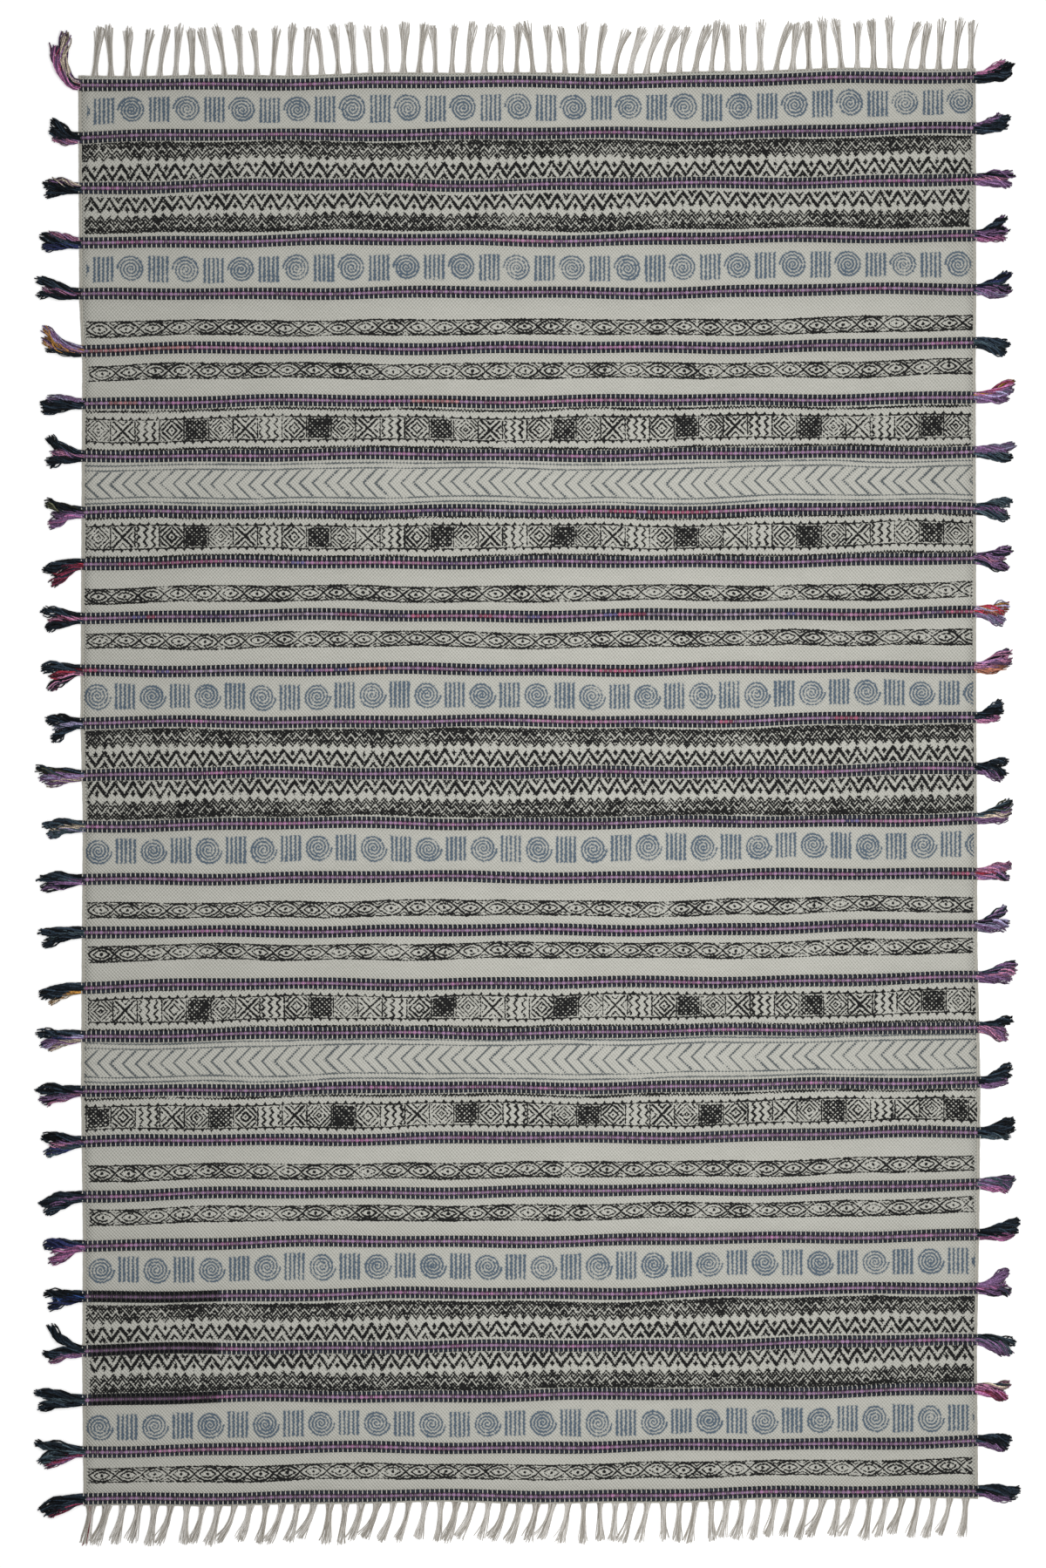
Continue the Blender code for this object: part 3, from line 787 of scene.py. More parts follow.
def crossing_tree():
    """A short arc of warp over a thick weft at each crossing."""
    t, given = new_tree("warp_crossing", Floats="Int", Reach="Float", Crest="Float", Radius="Float",
                        Material="Material")
    curve = add_node(t, "GeometryNodeMeshToCurve", given["Geometry"])
    even = add_node(t, "GeometryNodeResampleCurve", curve, None, Field(t, given["Floats"]) + 1.0)
    start = add_node(t, "ShaderNodeCombineXYZ", 0.0, Field(t, given["Reach"]) * -1.0, WARP_FOOT)
    middle = add_node(t, "ShaderNodeCombineXYZ", 0.0, 0.0, given["Crest"])
    end = add_node(t, "ShaderNodeCombineXYZ", 0.0, given["Reach"], WARP_FOOT)
    smooth_arc = add_node(t, "GeometryNodeCurveQuadraticBezier", 4, start, middle, end)
    arc = add_node(t, "GeometryNodeResampleCurve", smooth_arc, None, 3)
    section = add_node(t, "GeometryNodeCurvePrimitiveCircle", named={"Resolution": 3, "Radius": 1.0})
    thread = add_node(t, "GeometryNodeCurveToMesh", arc, section,
                      named={"Scale": given["Radius"], "Fill Caps": False})
    smooth = add_node(t, "GeometryNodeSetShadeSmooth", thread)
    arcs = add_node(t, "GeometryNodeInstanceOnPoints", even, None, smooth)
    return finish_tree(t, arcs, given["Material"])


def spun_cotton(name, fibre_scale, lightest, depth=0.85, darkest=0.72):
    """Soft spun yarn: matt, with fine fibres that catch the light and a shade that varies along it. The
    colour is the yarn's dye attribute, which for the thick wefts also holds their painted light and shade,
    and block ink lies over it where a print strayed onto the band. The colour is also painted darker where
    the yarn lies low, as its neighbours would shade it, and painted lighter where it lies high, as light
    would catch it. Depth is the painted tone of yarn that lies low, and two less depth is the painted tone of
    yarn on top."""
    material, t = new_material(name)
    dye = add_node(t, "ShaderNodeAttribute", attribute_name="dye")
    inked = add_node(t, "ShaderNodeAttribute", attribute_name="inked", output=2)
    place = add_node(t, "ShaderNodeTexCoord", output="Object")
    fibre = noise(t, place, fibre_scale, 4.0)
    shade = add_node(t, "ShaderNodeMapRange", fibre,
                     named={"From Min": 0.3, "From Max": 0.7, "To Min": darkest, "To Max": lightest})
    # Painted light and shade by height: the yarn is darker low down and lighter on top.
    painted_light_tone = add_node(t, "ShaderNodeMapRange", split(t, place)[2],
                    named={"From Min": 3 * MM, "From Max": 7 * MM, "To Min": depth, "To Max": 2 - depth})
    lit = add_node(t, "ShaderNodeVectorMath", dye, Field(t, shade) * painted_light_tone, operation="MULTIPLY")
    colour = blend(t, inked, lit, hex_colour(BLACK_INK))
    finish_cotton(t, colour, fibre, 0.6, 0.5 * MM, **{"Sheen Weight": 0.06})
    return material


# The thick wefts, with a depth of 0.35, are painted much darker low down and much lighter on top.
weft_cotton = spun_cotton("thick_weft_cotton", 700.0, 1.35, 0.35)
warp_cotton = spun_cotton("natural_warp_cotton", 900.0, 1.1)
thick_weft = weft_tree()
warp_crossing = crossing_tree()


def weft_floats(weft):
    """How many floats a weft makes across the rug."""
    return FLOATS - int(2 * weft.start)


def row_wires(weft, slubs):
    """The path of one kind of weft in every band, with its dye, the natural warp's, and any stray ink. The
    weft's dye is painted lighter in each float's middle and darker under each warp, as light and shade would
    fall, and it also varies at random.
    """
    paths, dyes, naturals, inks = [], [], [], []
    for band, y in enumerate(band_middles(), start=1):
        row_y = y + weft.offset
        left, right = selvedge(-1, row_y), selvedge(1, row_y)
        step = (right - left) / FLOATS
        x = np.linspace(left + weft.start * step, right - weft.start * step, weft_floats(weft) * 2 + 1)
        paths.append(np.stack([x, row_y + row_drift(x, y), np.zeros_like(x)], axis=1))
        share = (x - left) / (right - left)
        dye = np.tile(hex_colour(PURPLE if weft.offset == 0 else CHARCOAL), (len(x), 1))
        if weft.offset == 0:
            for start in slubs.random(FLECKS):
                near = np.exp(-((share - start) / FLECK_REACH) ** 2)[:, None]
                dye = dye * (1 - 0.5 * near) + np.array(hex_colour(DYES["pink"])) * 0.5 * near
            for stretch in (s for s in STRETCHES if s.band == band):
                inside = ((share > stretch.start) & (share < stretch.end))[:, None]
                dye = np.where(inside, (dye + np.array(hex_colour(DYES[stretch.dye]))) * 0.5, dye)
        # Painted light and shade: every second point is a float's middle, painted lighter, and the rest lie
        # under a warp, painted darker. The random factor is the yarn's own uneven tone.
        crest = np.arange(len(x)) % 2 == 1
        painted_light_tone = np.where(crest, weft.crest_tone, weft.pinch_tone) * slubs.uniform(0.6, 1.4, len(x))
        dye[:, :3] *= painted_light_tone[:, None]
        dyes.append(dye)
        naturals.append(np.tile(hex_colour(NATURAL), (len(x), 1)))
        printed = band in INKED_BANDS
        depth = PURPLE_INKED if weft.offset == 0 else CHARCOAL_INKED
        inks.append(np.where((share > INKED_START) & (share < INKED_END), printed * depth, 0.0))
    return paths, dyes, naturals, inks


slubs = np.random.default_rng(28)
for weft in WEFTS:
    paths, dyes, naturals, inks = row_wires(weft, slubs)
    floats = weft_floats(weft)
    # The dye attribute of the thick wefts carries their painted light in mid-float and their painted shade
    # under the warps.
    wefts = grown(weft.name, wire_mesh(weft.name, paths, dye=dyes, inked=inks), thick_weft, weft_cotton,
                  Floats=floats, Low=weft.low, High=weft.high, Thin=weft.thin, Thick=weft.thick,
                  Sides=5 if weft.offset else 4, Seed=weft.offset * 1000)
    warps = grown("warp_over_" + weft.name, wire_mesh("warp", paths, dye=naturals, inked=inks),
                  warp_crossing, warp_cotton, Floats=floats, Crest=weft.crest, Reach=weft.reach,
                  Radius=weft.warp)
    for piece in (wefts, warps):
        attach(piece, "root")
        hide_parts("ground_cloth")

# The selvedges and the twined ends
# The outermost warps are doubled into a firm cord down each side. At the head and the foot a slim natural
# cord is twined round the warp's bundles, to lock the last weft in.

Cord = namedtuple("Cord", "inset radius height")
SELVEDGE_CORDS = [Cord(1.2 * MM, 1.5 * MM, 1.6 * MM), Cord(3.8 * MM, 1.3 * MM, 2.3 * MM)]
TWINED_CORDS = [Cord(-1.3 * MM, 1.3 * MM, 1.7 * MM)]
GREIGE_YARN = "#B9B6AC"
SIDE_POINTS, END_POINTS = 260, 180
PLY_TURN = 2.1  # radians from one point of a cord to the next
SIDE_SWING, END_SWING = 0.3 * MM, 0.35 * MM


def yarn_tree():
    """Spun yarn along wires, as thick at each point as the wires say."""
    t, given = new_tree("spun_yarn", Sides="Int", Material="Material")
    curve = add_node(t, "GeometryNodeMeshToCurve", given["Geometry"])
    thickness = add_node(t, "GeometryNodeInputNamedAttribute", "thickness", data_type="FLOAT")
    section = add_node(t, "GeometryNodeCurvePrimitiveCircle", given["Sides"], named={"Radius": 1.0})
    yarn = add_node(t, "GeometryNodeCurveToMesh", curve, section,
                    named={"Scale": thickness, "Fill Caps": True})
    smooth = add_node(t, "GeometryNodeSetShadeSmooth", yarn)
    return finish_tree(t, smooth, given["Material"])


spun_yarn = yarn_tree()
edge_cotton = spun_cotton("greige_edge_cotton", 900.0, 1.15, 1.0)

cord_paths = []
cord_radii = []
down = np.linspace(CLOTH_LENGTH / 2, -CLOTH_LENGTH / 2, SIDE_POINTS)
for side in (-1, 1):
    for cord in SELVEDGE_CORDS:
        x = selvedge(side, down) - side * cord.inset
        twist = SIDE_SWING * np.sin(np.arange(len(down)) * PLY_TURN)
        cord_paths.append(np.stack([x + twist, down + row_drift(x, down), cord.height + 0 * x], axis=1))
        cord_radii.append(np.full(len(down), cord.radius))
across = np.linspace(0, 1, END_POINTS)
for end in (1, -1):
    for cord in TWINED_CORDS:
        x, y = on_cloth(across, end * CLOTH_LENGTH / 2)
        swing = END_SWING * np.sin(np.arange(len(across)) * PLY_TURN)
        cord_paths.append(np.stack([x, y - end * cord.inset + swing, cord.height + 0 * x], axis=1))
        cord_radii.append(np.full(len(across), cord.radius))
cord_dyes = [np.tile(hex_colour(GREIGE_YARN), (len(path), 1)) for path in cord_paths]
cord_wires = wire_mesh("cords", cord_paths, thickness=cord_radii, dye=cord_dyes)
cords = grown("selvedges_and_twined_ends", cord_wires, spun_yarn, edge_cotton, Sides=5)
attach(cords, "root")
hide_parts("ground_cloth")

# The fringes
# The cotton warp is left long at both ends and gathered into bundles of a few dozen ends. A bundle's ends
# run together at its root and loosen into a brush at its tip, and each bundle lies its own way.

# How far each bundle's tip lies to the right of its root in millimetres, from the left.
HEAD_TIPS = [
    10, -6, 3, 14, 14, 7, -2, -14, -16, -7, -7, 6, 6, 5, -11, -9, -8, -7, -6, 4, 11, -5, 6, 8, 14,
    1, 3, -13, -2, -10, 4, 12, 26, 26, 28, 28, 17, 27, 12, -4, -2, 3, 27, 12, -2, -5, -11, 1, -4,
    -2, 24, 11, 7, 11, 3,
]
FOOT_TIPS = [
    -12, -26, -18, -17, -12, -26, -5, -20, -20, -32, -22, -13, -28, -20, -32, -9, -10, -24, -30,
    -24, -22, -14, -7, -20, -30, -18, -26, -25, -18, -28, -16, -3, 0, -6, -21, -18, 1, -4, -14, 1,
    -14, -14, -13, -16, -16, -16, -30, -12, -26, -12, -20, -24, -15, -16, -21, -7,
]
Fringe = namedtuple("Fringe", "name end length left_inset right_inset tips")
FRINGES = [
    Fringe("warp_fringe_head", 1, 82 * MM, 28 * MM, 8.5 * MM, HEAD_TIPS),
    Fringe("warp_fringe_foot", -1, 66 * MM, 13 * MM, 21 * MM, FOOT_TIPS),
]
LENGTH_SWING = 0.05
LENGTH_RATE = 1.7
BUNDLE_YARNS = 16
BUNDLE_TWIST = 0.8  # radians from root to tip
STRIP_DEPTH = 5 * MM
ROOT_SHARE = 0.1  # of a bundle's length, which lies on the cloth
BUNDLE_BEND = 0.45
INNER_TURN, OUTER_TURN = 0.6, 1.3
FRINGE_DYES = ("#D2CEC7", "#BFBAB1", "#DDD9D3", "#ABA59B")
RED_YARN = "#7E2432"
YARN_RADIUS = 1.05 * MM
BUNDLE_LOOSE, BUNDLE_UNEVEN = 0.2, 0.06
BUNDLE_LIFT = 1.0 * MM
# Where a bundle's yarns are spread, from its root on the cloth to its tip: the share of its length, how far
# the outer yarns lie from its middle, and the height of its middle.
Station = namedtuple("Station", "share spread height")
BUNDLE_STATIONS = [
    Station(-0.05, 6.5 * MM, 2.3 * MM),
    Station(0.05, 4.9 * MM, 2.3 * MM),
    Station(0.16, 3.7 * MM, 2.2 * MM),
    Station(0.40, 4.2 * MM, 2.1 * MM),
    Station(0.62, 5.2 * MM, 2.0 * MM),
    Station(0.82, 7.0 * MM, 1.8 * MM),
    Station(1.00, 8.5 * MM, 1.3 * MM),
]
FOOT_BULK = 1.15  # the foot's bundles hang looser
CORNER_BUNDLES, CORNER_BULK = 3, 1.4  # at the foot's left corner
CORNER_REDS = 2  # red yarns in the first of them


def bent_line(points, shares, reach):
    """Points at shares of the way along a path of straight legs, given the length that counts as one."""
    steps = np.linalg.norm(np.diff(points, axis=0), axis=1)
    along = np.concatenate([[0], np.cumsum(steps)])
    at = np.asarray(shares) * reach
    line = np.stack([np.interp(at, along, points[:, i]) for i in range(2)], axis=1)
    line[1:-1] = line[1:-1] * 0.6 + (line[:-2] + line[2:]) * 0.2
    return line


YARN_TURN = 2.4  # radians between one yarn and the next round a bundle
YARN_TAPER = 0.25


def strand_bundle(line, spreads, heights, lift, radius, count, chance, loose, twist, uneven):
    """Yarns that run together along a line, twist round it by an angle and spread as given. Loose says how
    far each wanders, uneven how much their lengths differ, and lift how high the bundle is piled."""
    strands, radii = [], []
    run = np.gradient(line, axis=0)
    run /= np.linalg.norm(run, axis=1)[:, None]
    aside = np.stack([-run[:, 1], run[:, 0]], axis=1)
    along = np.linspace(0, 1, len(line))
    for number in range(count):
        ring = math.sqrt((number + 0.5) / count)
        turn = number * YARN_TURN + chance.random() + twist * along
        sway = loose * along * np.sin(along * (4 + 3 * chance.random()) + chance.random() * 6)
        out = ring * np.cos(turn) + sway
        up = ring * np.sin(turn) + 0.5 * sway
        reach = 1 + (chance.random() - 0.6) * uneven - 0.08 * ring ** 2
        centre = line[0] + (line - line[0]) * (1 + (reach - 1) * along[:, None] ** 2)
        plan = centre + aside * (out * spreads)[:, None]
        z = np.maximum(heights + up * lift, radius * 1.3)
        strands.append(np.column_stack([plan, z]))
        radii.append(radius * (1 - YARN_TAPER * along ** 4) * (0.85 + 0.3 * chance.random()))
    return strands, radii


fringe_cotton = spun_cotton("loose_warp_cotton", 1100.0, 1.2, 1.0)
for fringe in FRINGES:
    chance = np.random.default_rng(55 + fringe.end)
    paths, radii, dyes = [], [], []
    edge_x, edge_y = on_cloth(np.linspace(0, 1, 17), fringe.end * CLOTH_LENGTH / 2)
    first = edge_x[0] + fringe.left_inset
    pitch = (edge_x[-1] - fringe.right_inset - first) / (len(fringe.tips) - 1)
    for number, tip_shift in enumerate(fringe.tips):
        x = first + number * pitch
        root = np.array([x, np.interp(x, edge_x, edge_y) + fringe.end * (PIECE_GAP + STRIP_DEPTH)])
        length = fringe.length * (1 + LENGTH_SWING * math.sin(LENGTH_RATE * number))
        lean = math.degrees(math.atan2(tip_shift * MM, fringe.length))
        legs = [root - [0, fringe.end * ROOT_SHARE * length], root]
        for turn, part in ((INNER_TURN, BUNDLE_BEND), (OUTER_TURN, 1 - BUNDLE_BEND)):
            way = math.radians(lean * turn)
            legs.append(legs[-1] + np.array([math.sin(way), fringe.end * math.cos(way)]) * length * part)
        shares = np.array([station.share + ROOT_SHARE for station in BUNDLE_STATIONS])
        line = bent_line(np.array(legs), shares, length)
        bulk = chance.uniform(0.85, 1.15) * (FOOT_BULK if fringe.end < 0 else 1)
        if fringe.end < 0 and number < CORNER_BUNDLES:
            bulk = CORNER_BULK
        spreads = np.array([station.spread * bulk for station in BUNDLE_STATIONS])
        heights = np.array([station.height for station in BUNDLE_STATIONS])
        strands, sizes = strand_bundle(line, spreads, heights, BUNDLE_LIFT, YARN_RADIUS, BUNDLE_YARNS,
                                       chance, BUNDLE_LOOSE, BUNDLE_TWIST, BUNDLE_UNEVEN)
        paths += strands
        radii += sizes
        for yarn in range(BUNDLE_YARNS):
            red = fringe.end < 0 and number == 0 and yarn < CORNER_REDS
            colour = RED_YARN if red else FRINGE_DYES[int(chance.integers(len(FRINGE_DYES)))]
            dyes.append(np.tile(hex_colour(colour), (len(line), 1)))
    piece = grown(fringe.name.replace("warp", "loose"), wire_mesh("ends", paths, thickness=radii, dye=dyes),
                  spun_yarn, fringe_cotton, Sides=3)
    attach(piece, "root")
    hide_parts(fringe.name)

# The side tassels
# Each band's wefts are left long past both selvedges, and their ends hang loose as a tassel: two thick
# locks, mostly charcoal, and a thinner one of the band's coloured yarns. They bush out towards their tips.

HEAD_REACH = 11 * MM
LOCK_ROOT = 4.6 * MM
LOCK_SPACE = 0.9 * MM
TIP_WIDENING = 0.5 * MM
WIDEST_TIP = 14 * MM
LEAST_SPREAD = 8
BENT_SPREAD = 7
ACCENT_SPREAD = 12
ACCENT_SHARE = 0.82
SECOND_SHARE = 0.93
LOCK_INNER_TURN, LOCK_OUTER_TURN = 0.75, 1.15
DYES["charcoal"] = "#121920"
DYES["slate"] = "#3C4A52"
DYES["purple"] = "#6C5274"
DYES["natural"] = "#A89C8C"
DYES["ochre"] = "#A87A3C"
DYES["olive"] = "#3C3E30"
DYES["pale"] = "#8C86A4"

# Accent says where the coloured lock lies: above (1), between (0) or below (-1) the thick ones. Thick lists
# the dyes of the yarns in the upper and the lower thick lock, with a slash between where they differ, and
# fine those in the coloured one.
Tassel = namedtuple("Tassel", "lean splay reach accent thick fine")
Pair = namedtuple("Pair", "left right")
TASSELS = [
    Pair(Tassel(80, 14, 104, 0, "purple natural/purple pink", "charcoal maroon purple"),
         Tassel(22, 16, 70, 1, "charcoal", "pink rose")),
    Pair(Tassel(28, 26, 56, -1, "charcoal", "purple rose"), Tassel(22, 14, 62, 1, "charcoal", "purple")),
    Pair(Tassel(4, 22, 62, 1, "charcoal", "purple natural"),
         Tassel(1, 12, 65, 0, "purple charcoal/purple", "rose")),
    Pair(Tassel(6, 22, 68, 1, "charcoal/charcoal navy", "purple rose"),
         Tassel(24, 28, 62, -1, "charcoal purple/purple charcoal", "pink")),
    Pair(Tassel(14, 24, 78, 0, "charcoal", "purple rose"),
         Tassel(17, 26, 65, -1, "charcoal navy/charcoal purple", "purple pale")),
    Pair(Tassel(26, 22, 76, -1, "purple ochre pale", "charcoal"),
         Tassel(-16, 14, 60, 0, "charcoal", "slate")),
    Pair(Tassel(-2, 12, 74, 1, "charcoal", "purple pale"),
         Tassel(18, 14, 70, -1, "pink maroon ochre/purple pale", "purple")),
    Pair(Tassel(13, 44, 66, 0, "charcoal", "purple rose"),
         Tassel(-1, 12, 67, 0, "purple pale/charcoal slate", "purple")),
    Pair(Tassel(-4, 36, 64, 0, "charcoal olive/purple pink", "purple charcoal"),
         Tassel(-3, 28, 63, 0, "charcoal slate", "purple")),
    Pair(Tassel(-30, 30, 68, 0, "charcoal/charcoal maroon", "red charcoal maroon"),
         Tassel(-5, 32, 62, 0, "charcoal purple", "purple rose")),
    Pair(Tassel(-1, 28, 68, 0, "charcoal", "maroon rose"),
         Tassel(-9, 30, 57, 0, "red ochre pale/purple pale", "red orange")),
    Pair(Tassel(-18, 42, 68, 0, "charcoal/charcoal rose", "red charcoal maroon"),
         Tassel(25, 20, 68, -1, "charcoal purple rose/rose purple", "orange")),
    Pair(Tassel(-14, 40, 60, 0, "charcoal", "slate pale"), Tassel(30, 20, 52, -1, "charcoal", "rose pink")),
    Pair(Tassel(0, 14, 78, -1, "olive charcoal/purple pale", "purple natural"),
         Tassel(1, 30, 56, -1, "charcoal", "purple")),
    Pair(Tassel(-5, 14, 68, 0, "charcoal slate/slate pale", "natural"),
         Tassel(24, 16, 66, -1, "olive slate charcoal/purple natural", "purple")),
    Pair(Tassel(-8, 16, 77, 0, "charcoal/charcoal purple", "slate purple"),
         Tassel(10, 20, 60, 0, "charcoal purple rose", "red rose")),
    Pair(Tassel(-11, 8, 74, 0, "charcoal", "slate"),
         Tassel(24, 32, 60, -1, "purple pale charcoal", "purple pale")),
    Pair(Tassel(-17, 10, 75, -1, "charcoal", "ochre natural"),
         Tassel(15, 20, 70, -1, "purple charcoal/purple rose", "purple")),
    Pair(Tassel(-9, 22, 76, -1, "charcoal/purple navy pale", "purple natural"),
         Tassel(-9, 36, 57, 0, "charcoal/purple rose", "purple rose")),
    Pair(Tassel(-10, 20, 78, -1, "charcoal/purple charcoal", "purple rose"),
         Tassel(25, 22, 59, -1, "charcoal", "purple")),
    Pair(Tassel(-8, 30, 69, 0, "charcoal/navy slate", "purple rose"),
         Tassel(15, 18, 63, -1, "charcoal", "slate")),
    Pair(Tassel(-22, 8, 76, 0, "charcoal", "purple"),
         Tassel(2, 16, 60, -1, "purple slate/purple slate", "purple pink")),
    Pair(Tassel(-17, 32, 68, 0, "charcoal navy/purple pink", "purple pink"),
         Tassel(16, 16, 73, -1, "charcoal", "pink")),
    Pair(Tassel(-9, 22, 66, 0, "charcoal/charcoal navy", "blue navy"),
         Tassel(14, 44, 60, 0, "purple/charcoal purple", "purple pink")),
    Pair(Tassel(18, 54, 72, -1, "charcoal", "purple rose"),
         Tassel(-20, 24, 68, -1, "slate charcoal/purple slate", "purple")),
    Pair(Tassel(2, 24, 81, 0, "charcoal", "slate"),
         Tassel(-6, 24, 57, 0, "natural charcoal rose/pink maroon", "pink rose")),
    Pair(Tassel(-2, 26, 84, -1, "charcoal slate", "maroon purple"),
         Tassel(-6, 18, 58, -1, "charcoal", "purple")),
    Pair(Tassel(-24, 12, 80, -1, "charcoal", "maroon charcoal"),
         Tassel(-5, 12, 72, -1, "charcoal", "purple")),
]
CLOSED, OPEN = 0.55, 0.85  # how much of its locks' splay a narrow and a wide tassel's yarns keep
WIDE = 25
THICK_YARNS, FINE_YARNS = 23, 19
THICK_RADIUS, FINE_RADIUS = 1.75 * MM, 1.2 * MM
LOCK_TWIST = 4.4  # radians from root to tip
CURL = 2.6 * MM  # how far a lock waves aside
DARK = 0.06  # the brightest channel of a dye that is lightened more than darkened
DARK_TONES = (0.25, 0.7, 1.5, 3.8)
TONES = (0.4, 0.8, 1.0, 1.4)
LOCK_SHARES = np.array([0.0, 0.12, 0.25, 0.38, 0.51, 0.64, 0.76, 0.88, 1.0])
LOCK_LOOSE, LOCK_UNEVEN = 0.45, 0.12
LOCK_LIFT = 2.0 * MM
LEAST_BUSH, MOST_BUSH = 7.0 * MM, 8.5 * MM
UNDERLAP = 4 * MM  # how far a lock starts in from the selvedge


def tassel_locks(tassel):
    """Each of a tassel's three locks, from the lowest up: its angle, share of the reach, tip width, and
    whether it is the coloured one."""
    least = LEAST_SPREAD + BENT_SPREAD * (1 - math.cos(math.radians(tassel.lean)))
    if tassel.accent == 0:
        spread = max(tassel.splay / 2, least)
        angles = [tassel.lean - spread, tassel.lean, tassel.lean + spread]
        shares = [SECOND_SHARE, ACCENT_SHARE, 1]
    else:
        spread = max(tassel.splay, least)
        accent = tassel.lean + tassel.accent * (spread / 2 + ACCENT_SPREAD)
        thick = [tassel.lean - spread / 2, tassel.lean + spread / 2]
        angles = thick + [accent] if tassel.accent > 0 else [accent] + thick
        shares = [SECOND_SHARE, 1, ACCENT_SHARE] if tassel.accent > 0 else [ACCENT_SHARE, SECOND_SHARE, 1]
    nearest = min(upper - lower for lower, upper in zip(angles, angles[1:]))
    tip_width = min(LOCK_ROOT + LOCK_SPACE + nearest * TIP_WIDENING, WIDEST_TIP)
    return [(angle, share, tip_width, share == ACCENT_SHARE) for angle, share in zip(angles, shares)]


def tassel_strands(side, y, tassel, chance):
    """The strands of one tassel, with their thickness and dye."""
    edge_x = side * max(abs(selvedge(side, y + rise)) for rise in (-BAND_FOOT, 0, BAND_FOOT))
    edge_y = y + row_drift(edge_x, y)
    outer_x = edge_x + side * (PIECE_GAP + HEAD_REACH)
    paths, radii, dyes = [], [], []
    thick_dyes = tassel.thick.split("/")
    reach = tassel.reach * MM
    inner = (reach - HEAD_REACH) / 2
    for number, (angle, share, tip_width, fine) in enumerate(tassel_locks(tassel)):
        angle = tassel.lean + (angle - tassel.lean) * (CLOSED if tassel.splay < WIDE else OPEN)
        root = np.array([outer_x, edge_y + (number - 1) * (LOCK_ROOT + LOCK_SPACE)])
        outer = inner - reach * (1 - share)
        first, second = math.radians(angle * LOCK_INNER_TURN), math.radians(angle * LOCK_OUTER_TURN)
        knee = root + inner * np.array([side * math.cos(first), math.sin(first)])
        tip = knee + outer * np.array([side * math.cos(second), math.sin(second)])
        start = np.array([edge_x - side * UNDERLAP, root[1]])
        line = bent_line(np.array([start, root, knee, tip]), LOCK_SHARES,
                         HEAD_REACH + UNDERLAP + inner + outer)
        wave = np.sin(LOCK_SHARES * chance.uniform(6, 9) + chance.random() * 6) * LOCK_SHARES * CURL
        line[:, 1] += wave * math.cos(first)
        line[:, 0] += wave * math.sin(first)
        bush = max(min(tip_width * 0.65, MOST_BUSH), LEAST_BUSH) * (0.8 if fine else 1)
        spreads = np.interp(LOCK_SHARES, [0, 0.2, 0.5, 0.8, 1],
                            [3.0 * MM, 4.4 * MM, 6.8 * MM, bush, bush * 0.85])
        heights = np.interp(LOCK_SHARES, [0, 0.3, 0.7, 1], [3.0 * MM, 3.4 * MM, 3.3 * MM, 2.4 * MM])
        count, radius = (FINE_YARNS, FINE_RADIUS) if fine else (THICK_YARNS, THICK_RADIUS)
        strands, sizes = strand_bundle(line, spreads, heights, LOCK_LIFT, radius, count, chance,
                                       LOCK_LOOSE, LOCK_TWIST, LOCK_UNEVEN)
        if fine:
            names = tassel.fine.split()
        else:
            names = thick_dyes[-1].split()
            thick_dyes = thick_dyes[:1]  # the lower thick lock comes first
        paths += strands
        radii += sizes
        for strand in range(count):
            colour = np.array(hex_colour(DYES[names[int(chance.integers(len(names)))]]))
            colour[:3] *= chance.choice(DARK_TONES if colour[:3].max() < DARK else TONES)
            dyes.append(np.tile(colour, (len(line), 1)))
    return paths, radii, dyes


# The tassel yarn, with a depth of 0.45, is painted darker low down and lighter on top.
tassel_cotton = spun_cotton("combed_tassel_cotton", 420.0, 2.0, 0.45, 0.4)
for side, label in ((-1, "left"), (1, "right")):
    chance = np.random.default_rng(200 + side)
    paths, radii, dyes = [], [], []
    for y, pair in zip(band_middles(), TASSELS):
        grown_parts = tassel_strands(side, y, pair.left if side < 0 else pair.right, chance)
        for kept, part in zip((paths, radii, dyes), grown_parts):
            kept += part
    piece = grown(label + "_tassels", wire_mesh("locks", paths, thickness=radii, dye=dyes),
                  spun_yarn, tassel_cotton, Sides=3)
    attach(piece, "root")
    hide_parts(*[f"tassel_{label}_{number:02d}" for number in range(1, BANDS + 1)])

# The camera, floor and lights
# The camera looks straight down. The floor is plain white, as in a studio. The light is soft and comes from
# all round, and one long softbox hangs along the rug, a little right of its middle.

MM_PER_PIXEL = 1.484  # on the cloth
PICTURE = (1200, 1799)
RUG_AT = (607.0, 903.5)  # the pixel above the middle of the cloth
CAMERA_HEIGHT = 6.0
SENSOR = 36.0
WORLD_STRENGTH = 0.475

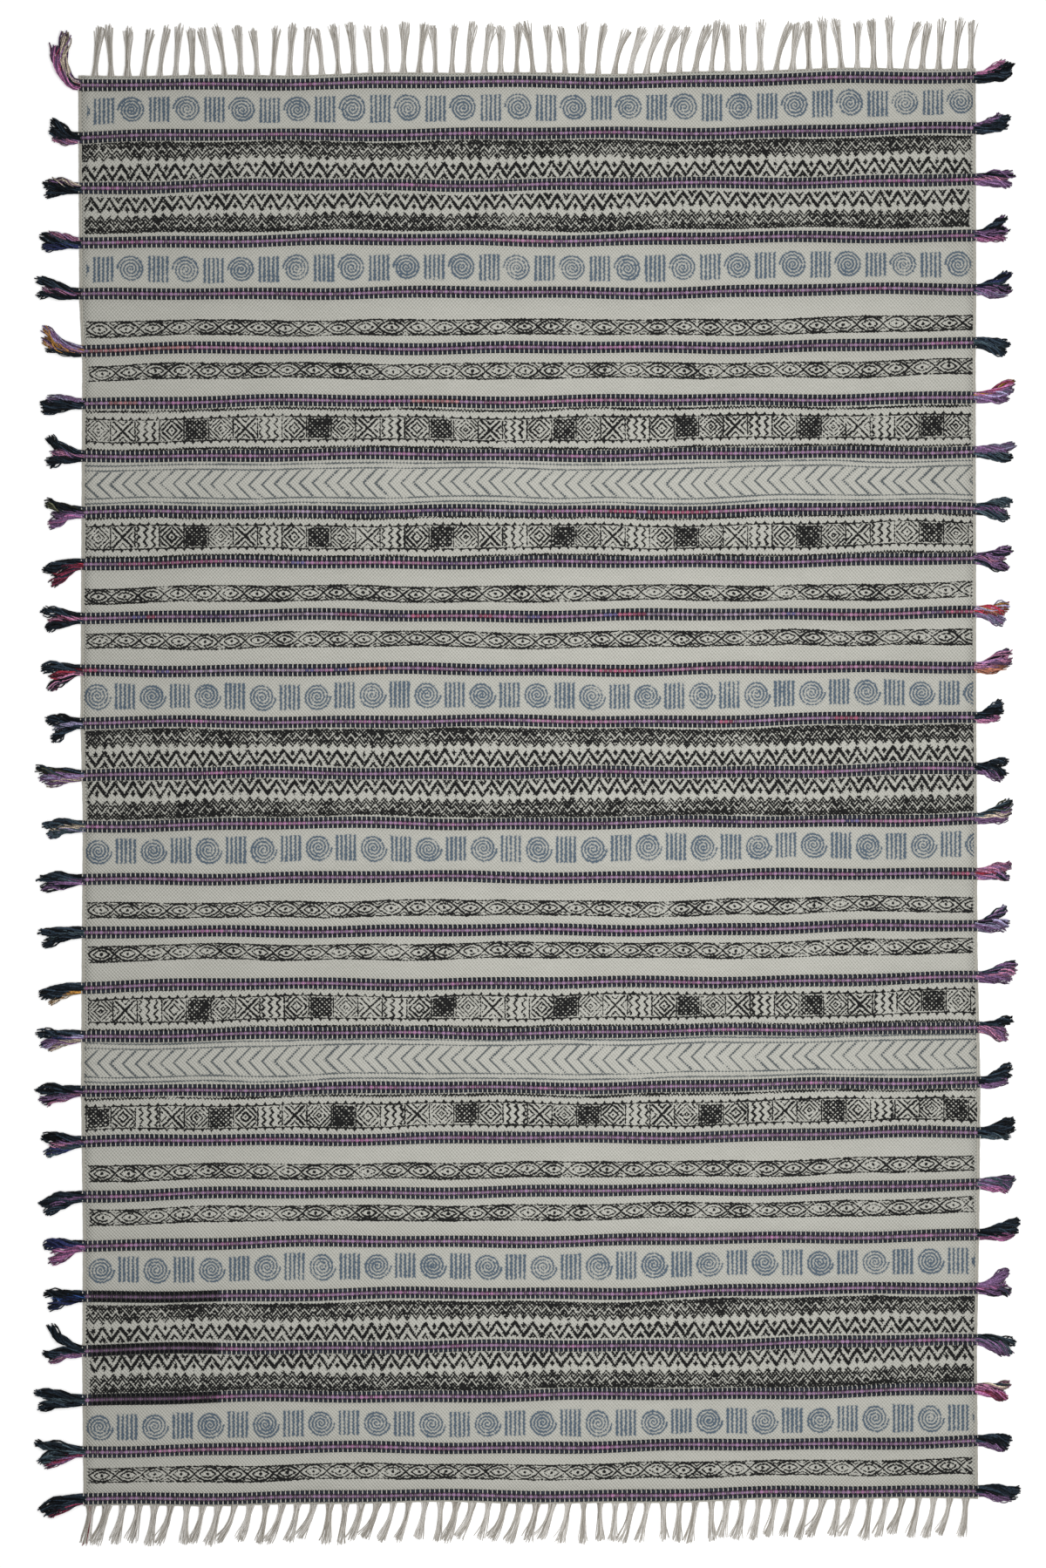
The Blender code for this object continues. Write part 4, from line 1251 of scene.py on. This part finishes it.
picture_height = PICTURE[1] * MM_PER_PIXEL * MM
camera_data = bpy.data.cameras.new("camera_above")
camera_data.sensor_fit = "VERTICAL"
camera_data.sensor_height = SENSOR
camera_data.lens = SENSOR * CAMERA_HEIGHT / picture_height
camera = bpy.data.objects.new("camera_above", camera_data)
camera.location = ((PICTURE[0] / 2 - RUG_AT[0]) * MM_PER_PIXEL * MM,
                   (RUG_AT[1] - PICTURE[1] / 2) * MM_PER_PIXEL * MM, CAMERA_HEIGHT)
bpy.context.scene.collection.objects.link(camera)
bpy.context.scene.camera = camera

floor_material, floor_tree = new_material("white_studio_floor")
floor_shader = add_node(floor_tree, "ShaderNodeBsdfPrincipled",
                        named={"Base Color": hex_colour("#FCFCFC"), "Roughness": 0.9,
                               "Emission Color": (1, 1, 1, 1), "Emission Strength": 0.3})
floor_tree.links.new(floor_shader, floor_tree.nodes.new("ShaderNodeOutputMaterial").inputs[0])
floor_bm = bmesh.new()
bmesh.ops.create_grid(floor_bm, x_segments=1, y_segments=1, size=8.0)
floor_mesh = bpy.data.meshes.new("studio_floor")
floor_bm.to_mesh(floor_mesh)
floor_bm.free()
floor_mesh.materials.append(floor_material)
floor = bpy.data.objects.new("studio_floor", floor_mesh)
floor.location.z = -0.2 * MM
bpy.context.scene.collection.objects.link(floor)

world = bpy.data.worlds.new("soft_studio")
world.use_nodes = True
world.node_tree.nodes["Background"].inputs["Color"].default_value = (1, 1, 1, 1)
world.node_tree.nodes["Background"].inputs["Strength"].default_value = WORLD_STRENGTH
bpy.context.scene.world = world
bpy.context.scene.view_settings.view_transform = "Standard"

SOFTBOX_AT = (0.25, 0.0, 1.55)
SOFTBOX_SIZE = (0.9, 3.6)
SOFTBOX_ENERGY = 29.5
light = bpy.data.lights.new("long_softbox", "AREA")
light.shape = "RECTANGLE"
light.size, light.size_y = SOFTBOX_SIZE
light.energy = SOFTBOX_ENERGY
softbox = bpy.data.objects.new("long_softbox", light)
softbox.location = SOFTBOX_AT
softbox.visible_camera = False
bpy.context.scene.collection.objects.link(softbox)
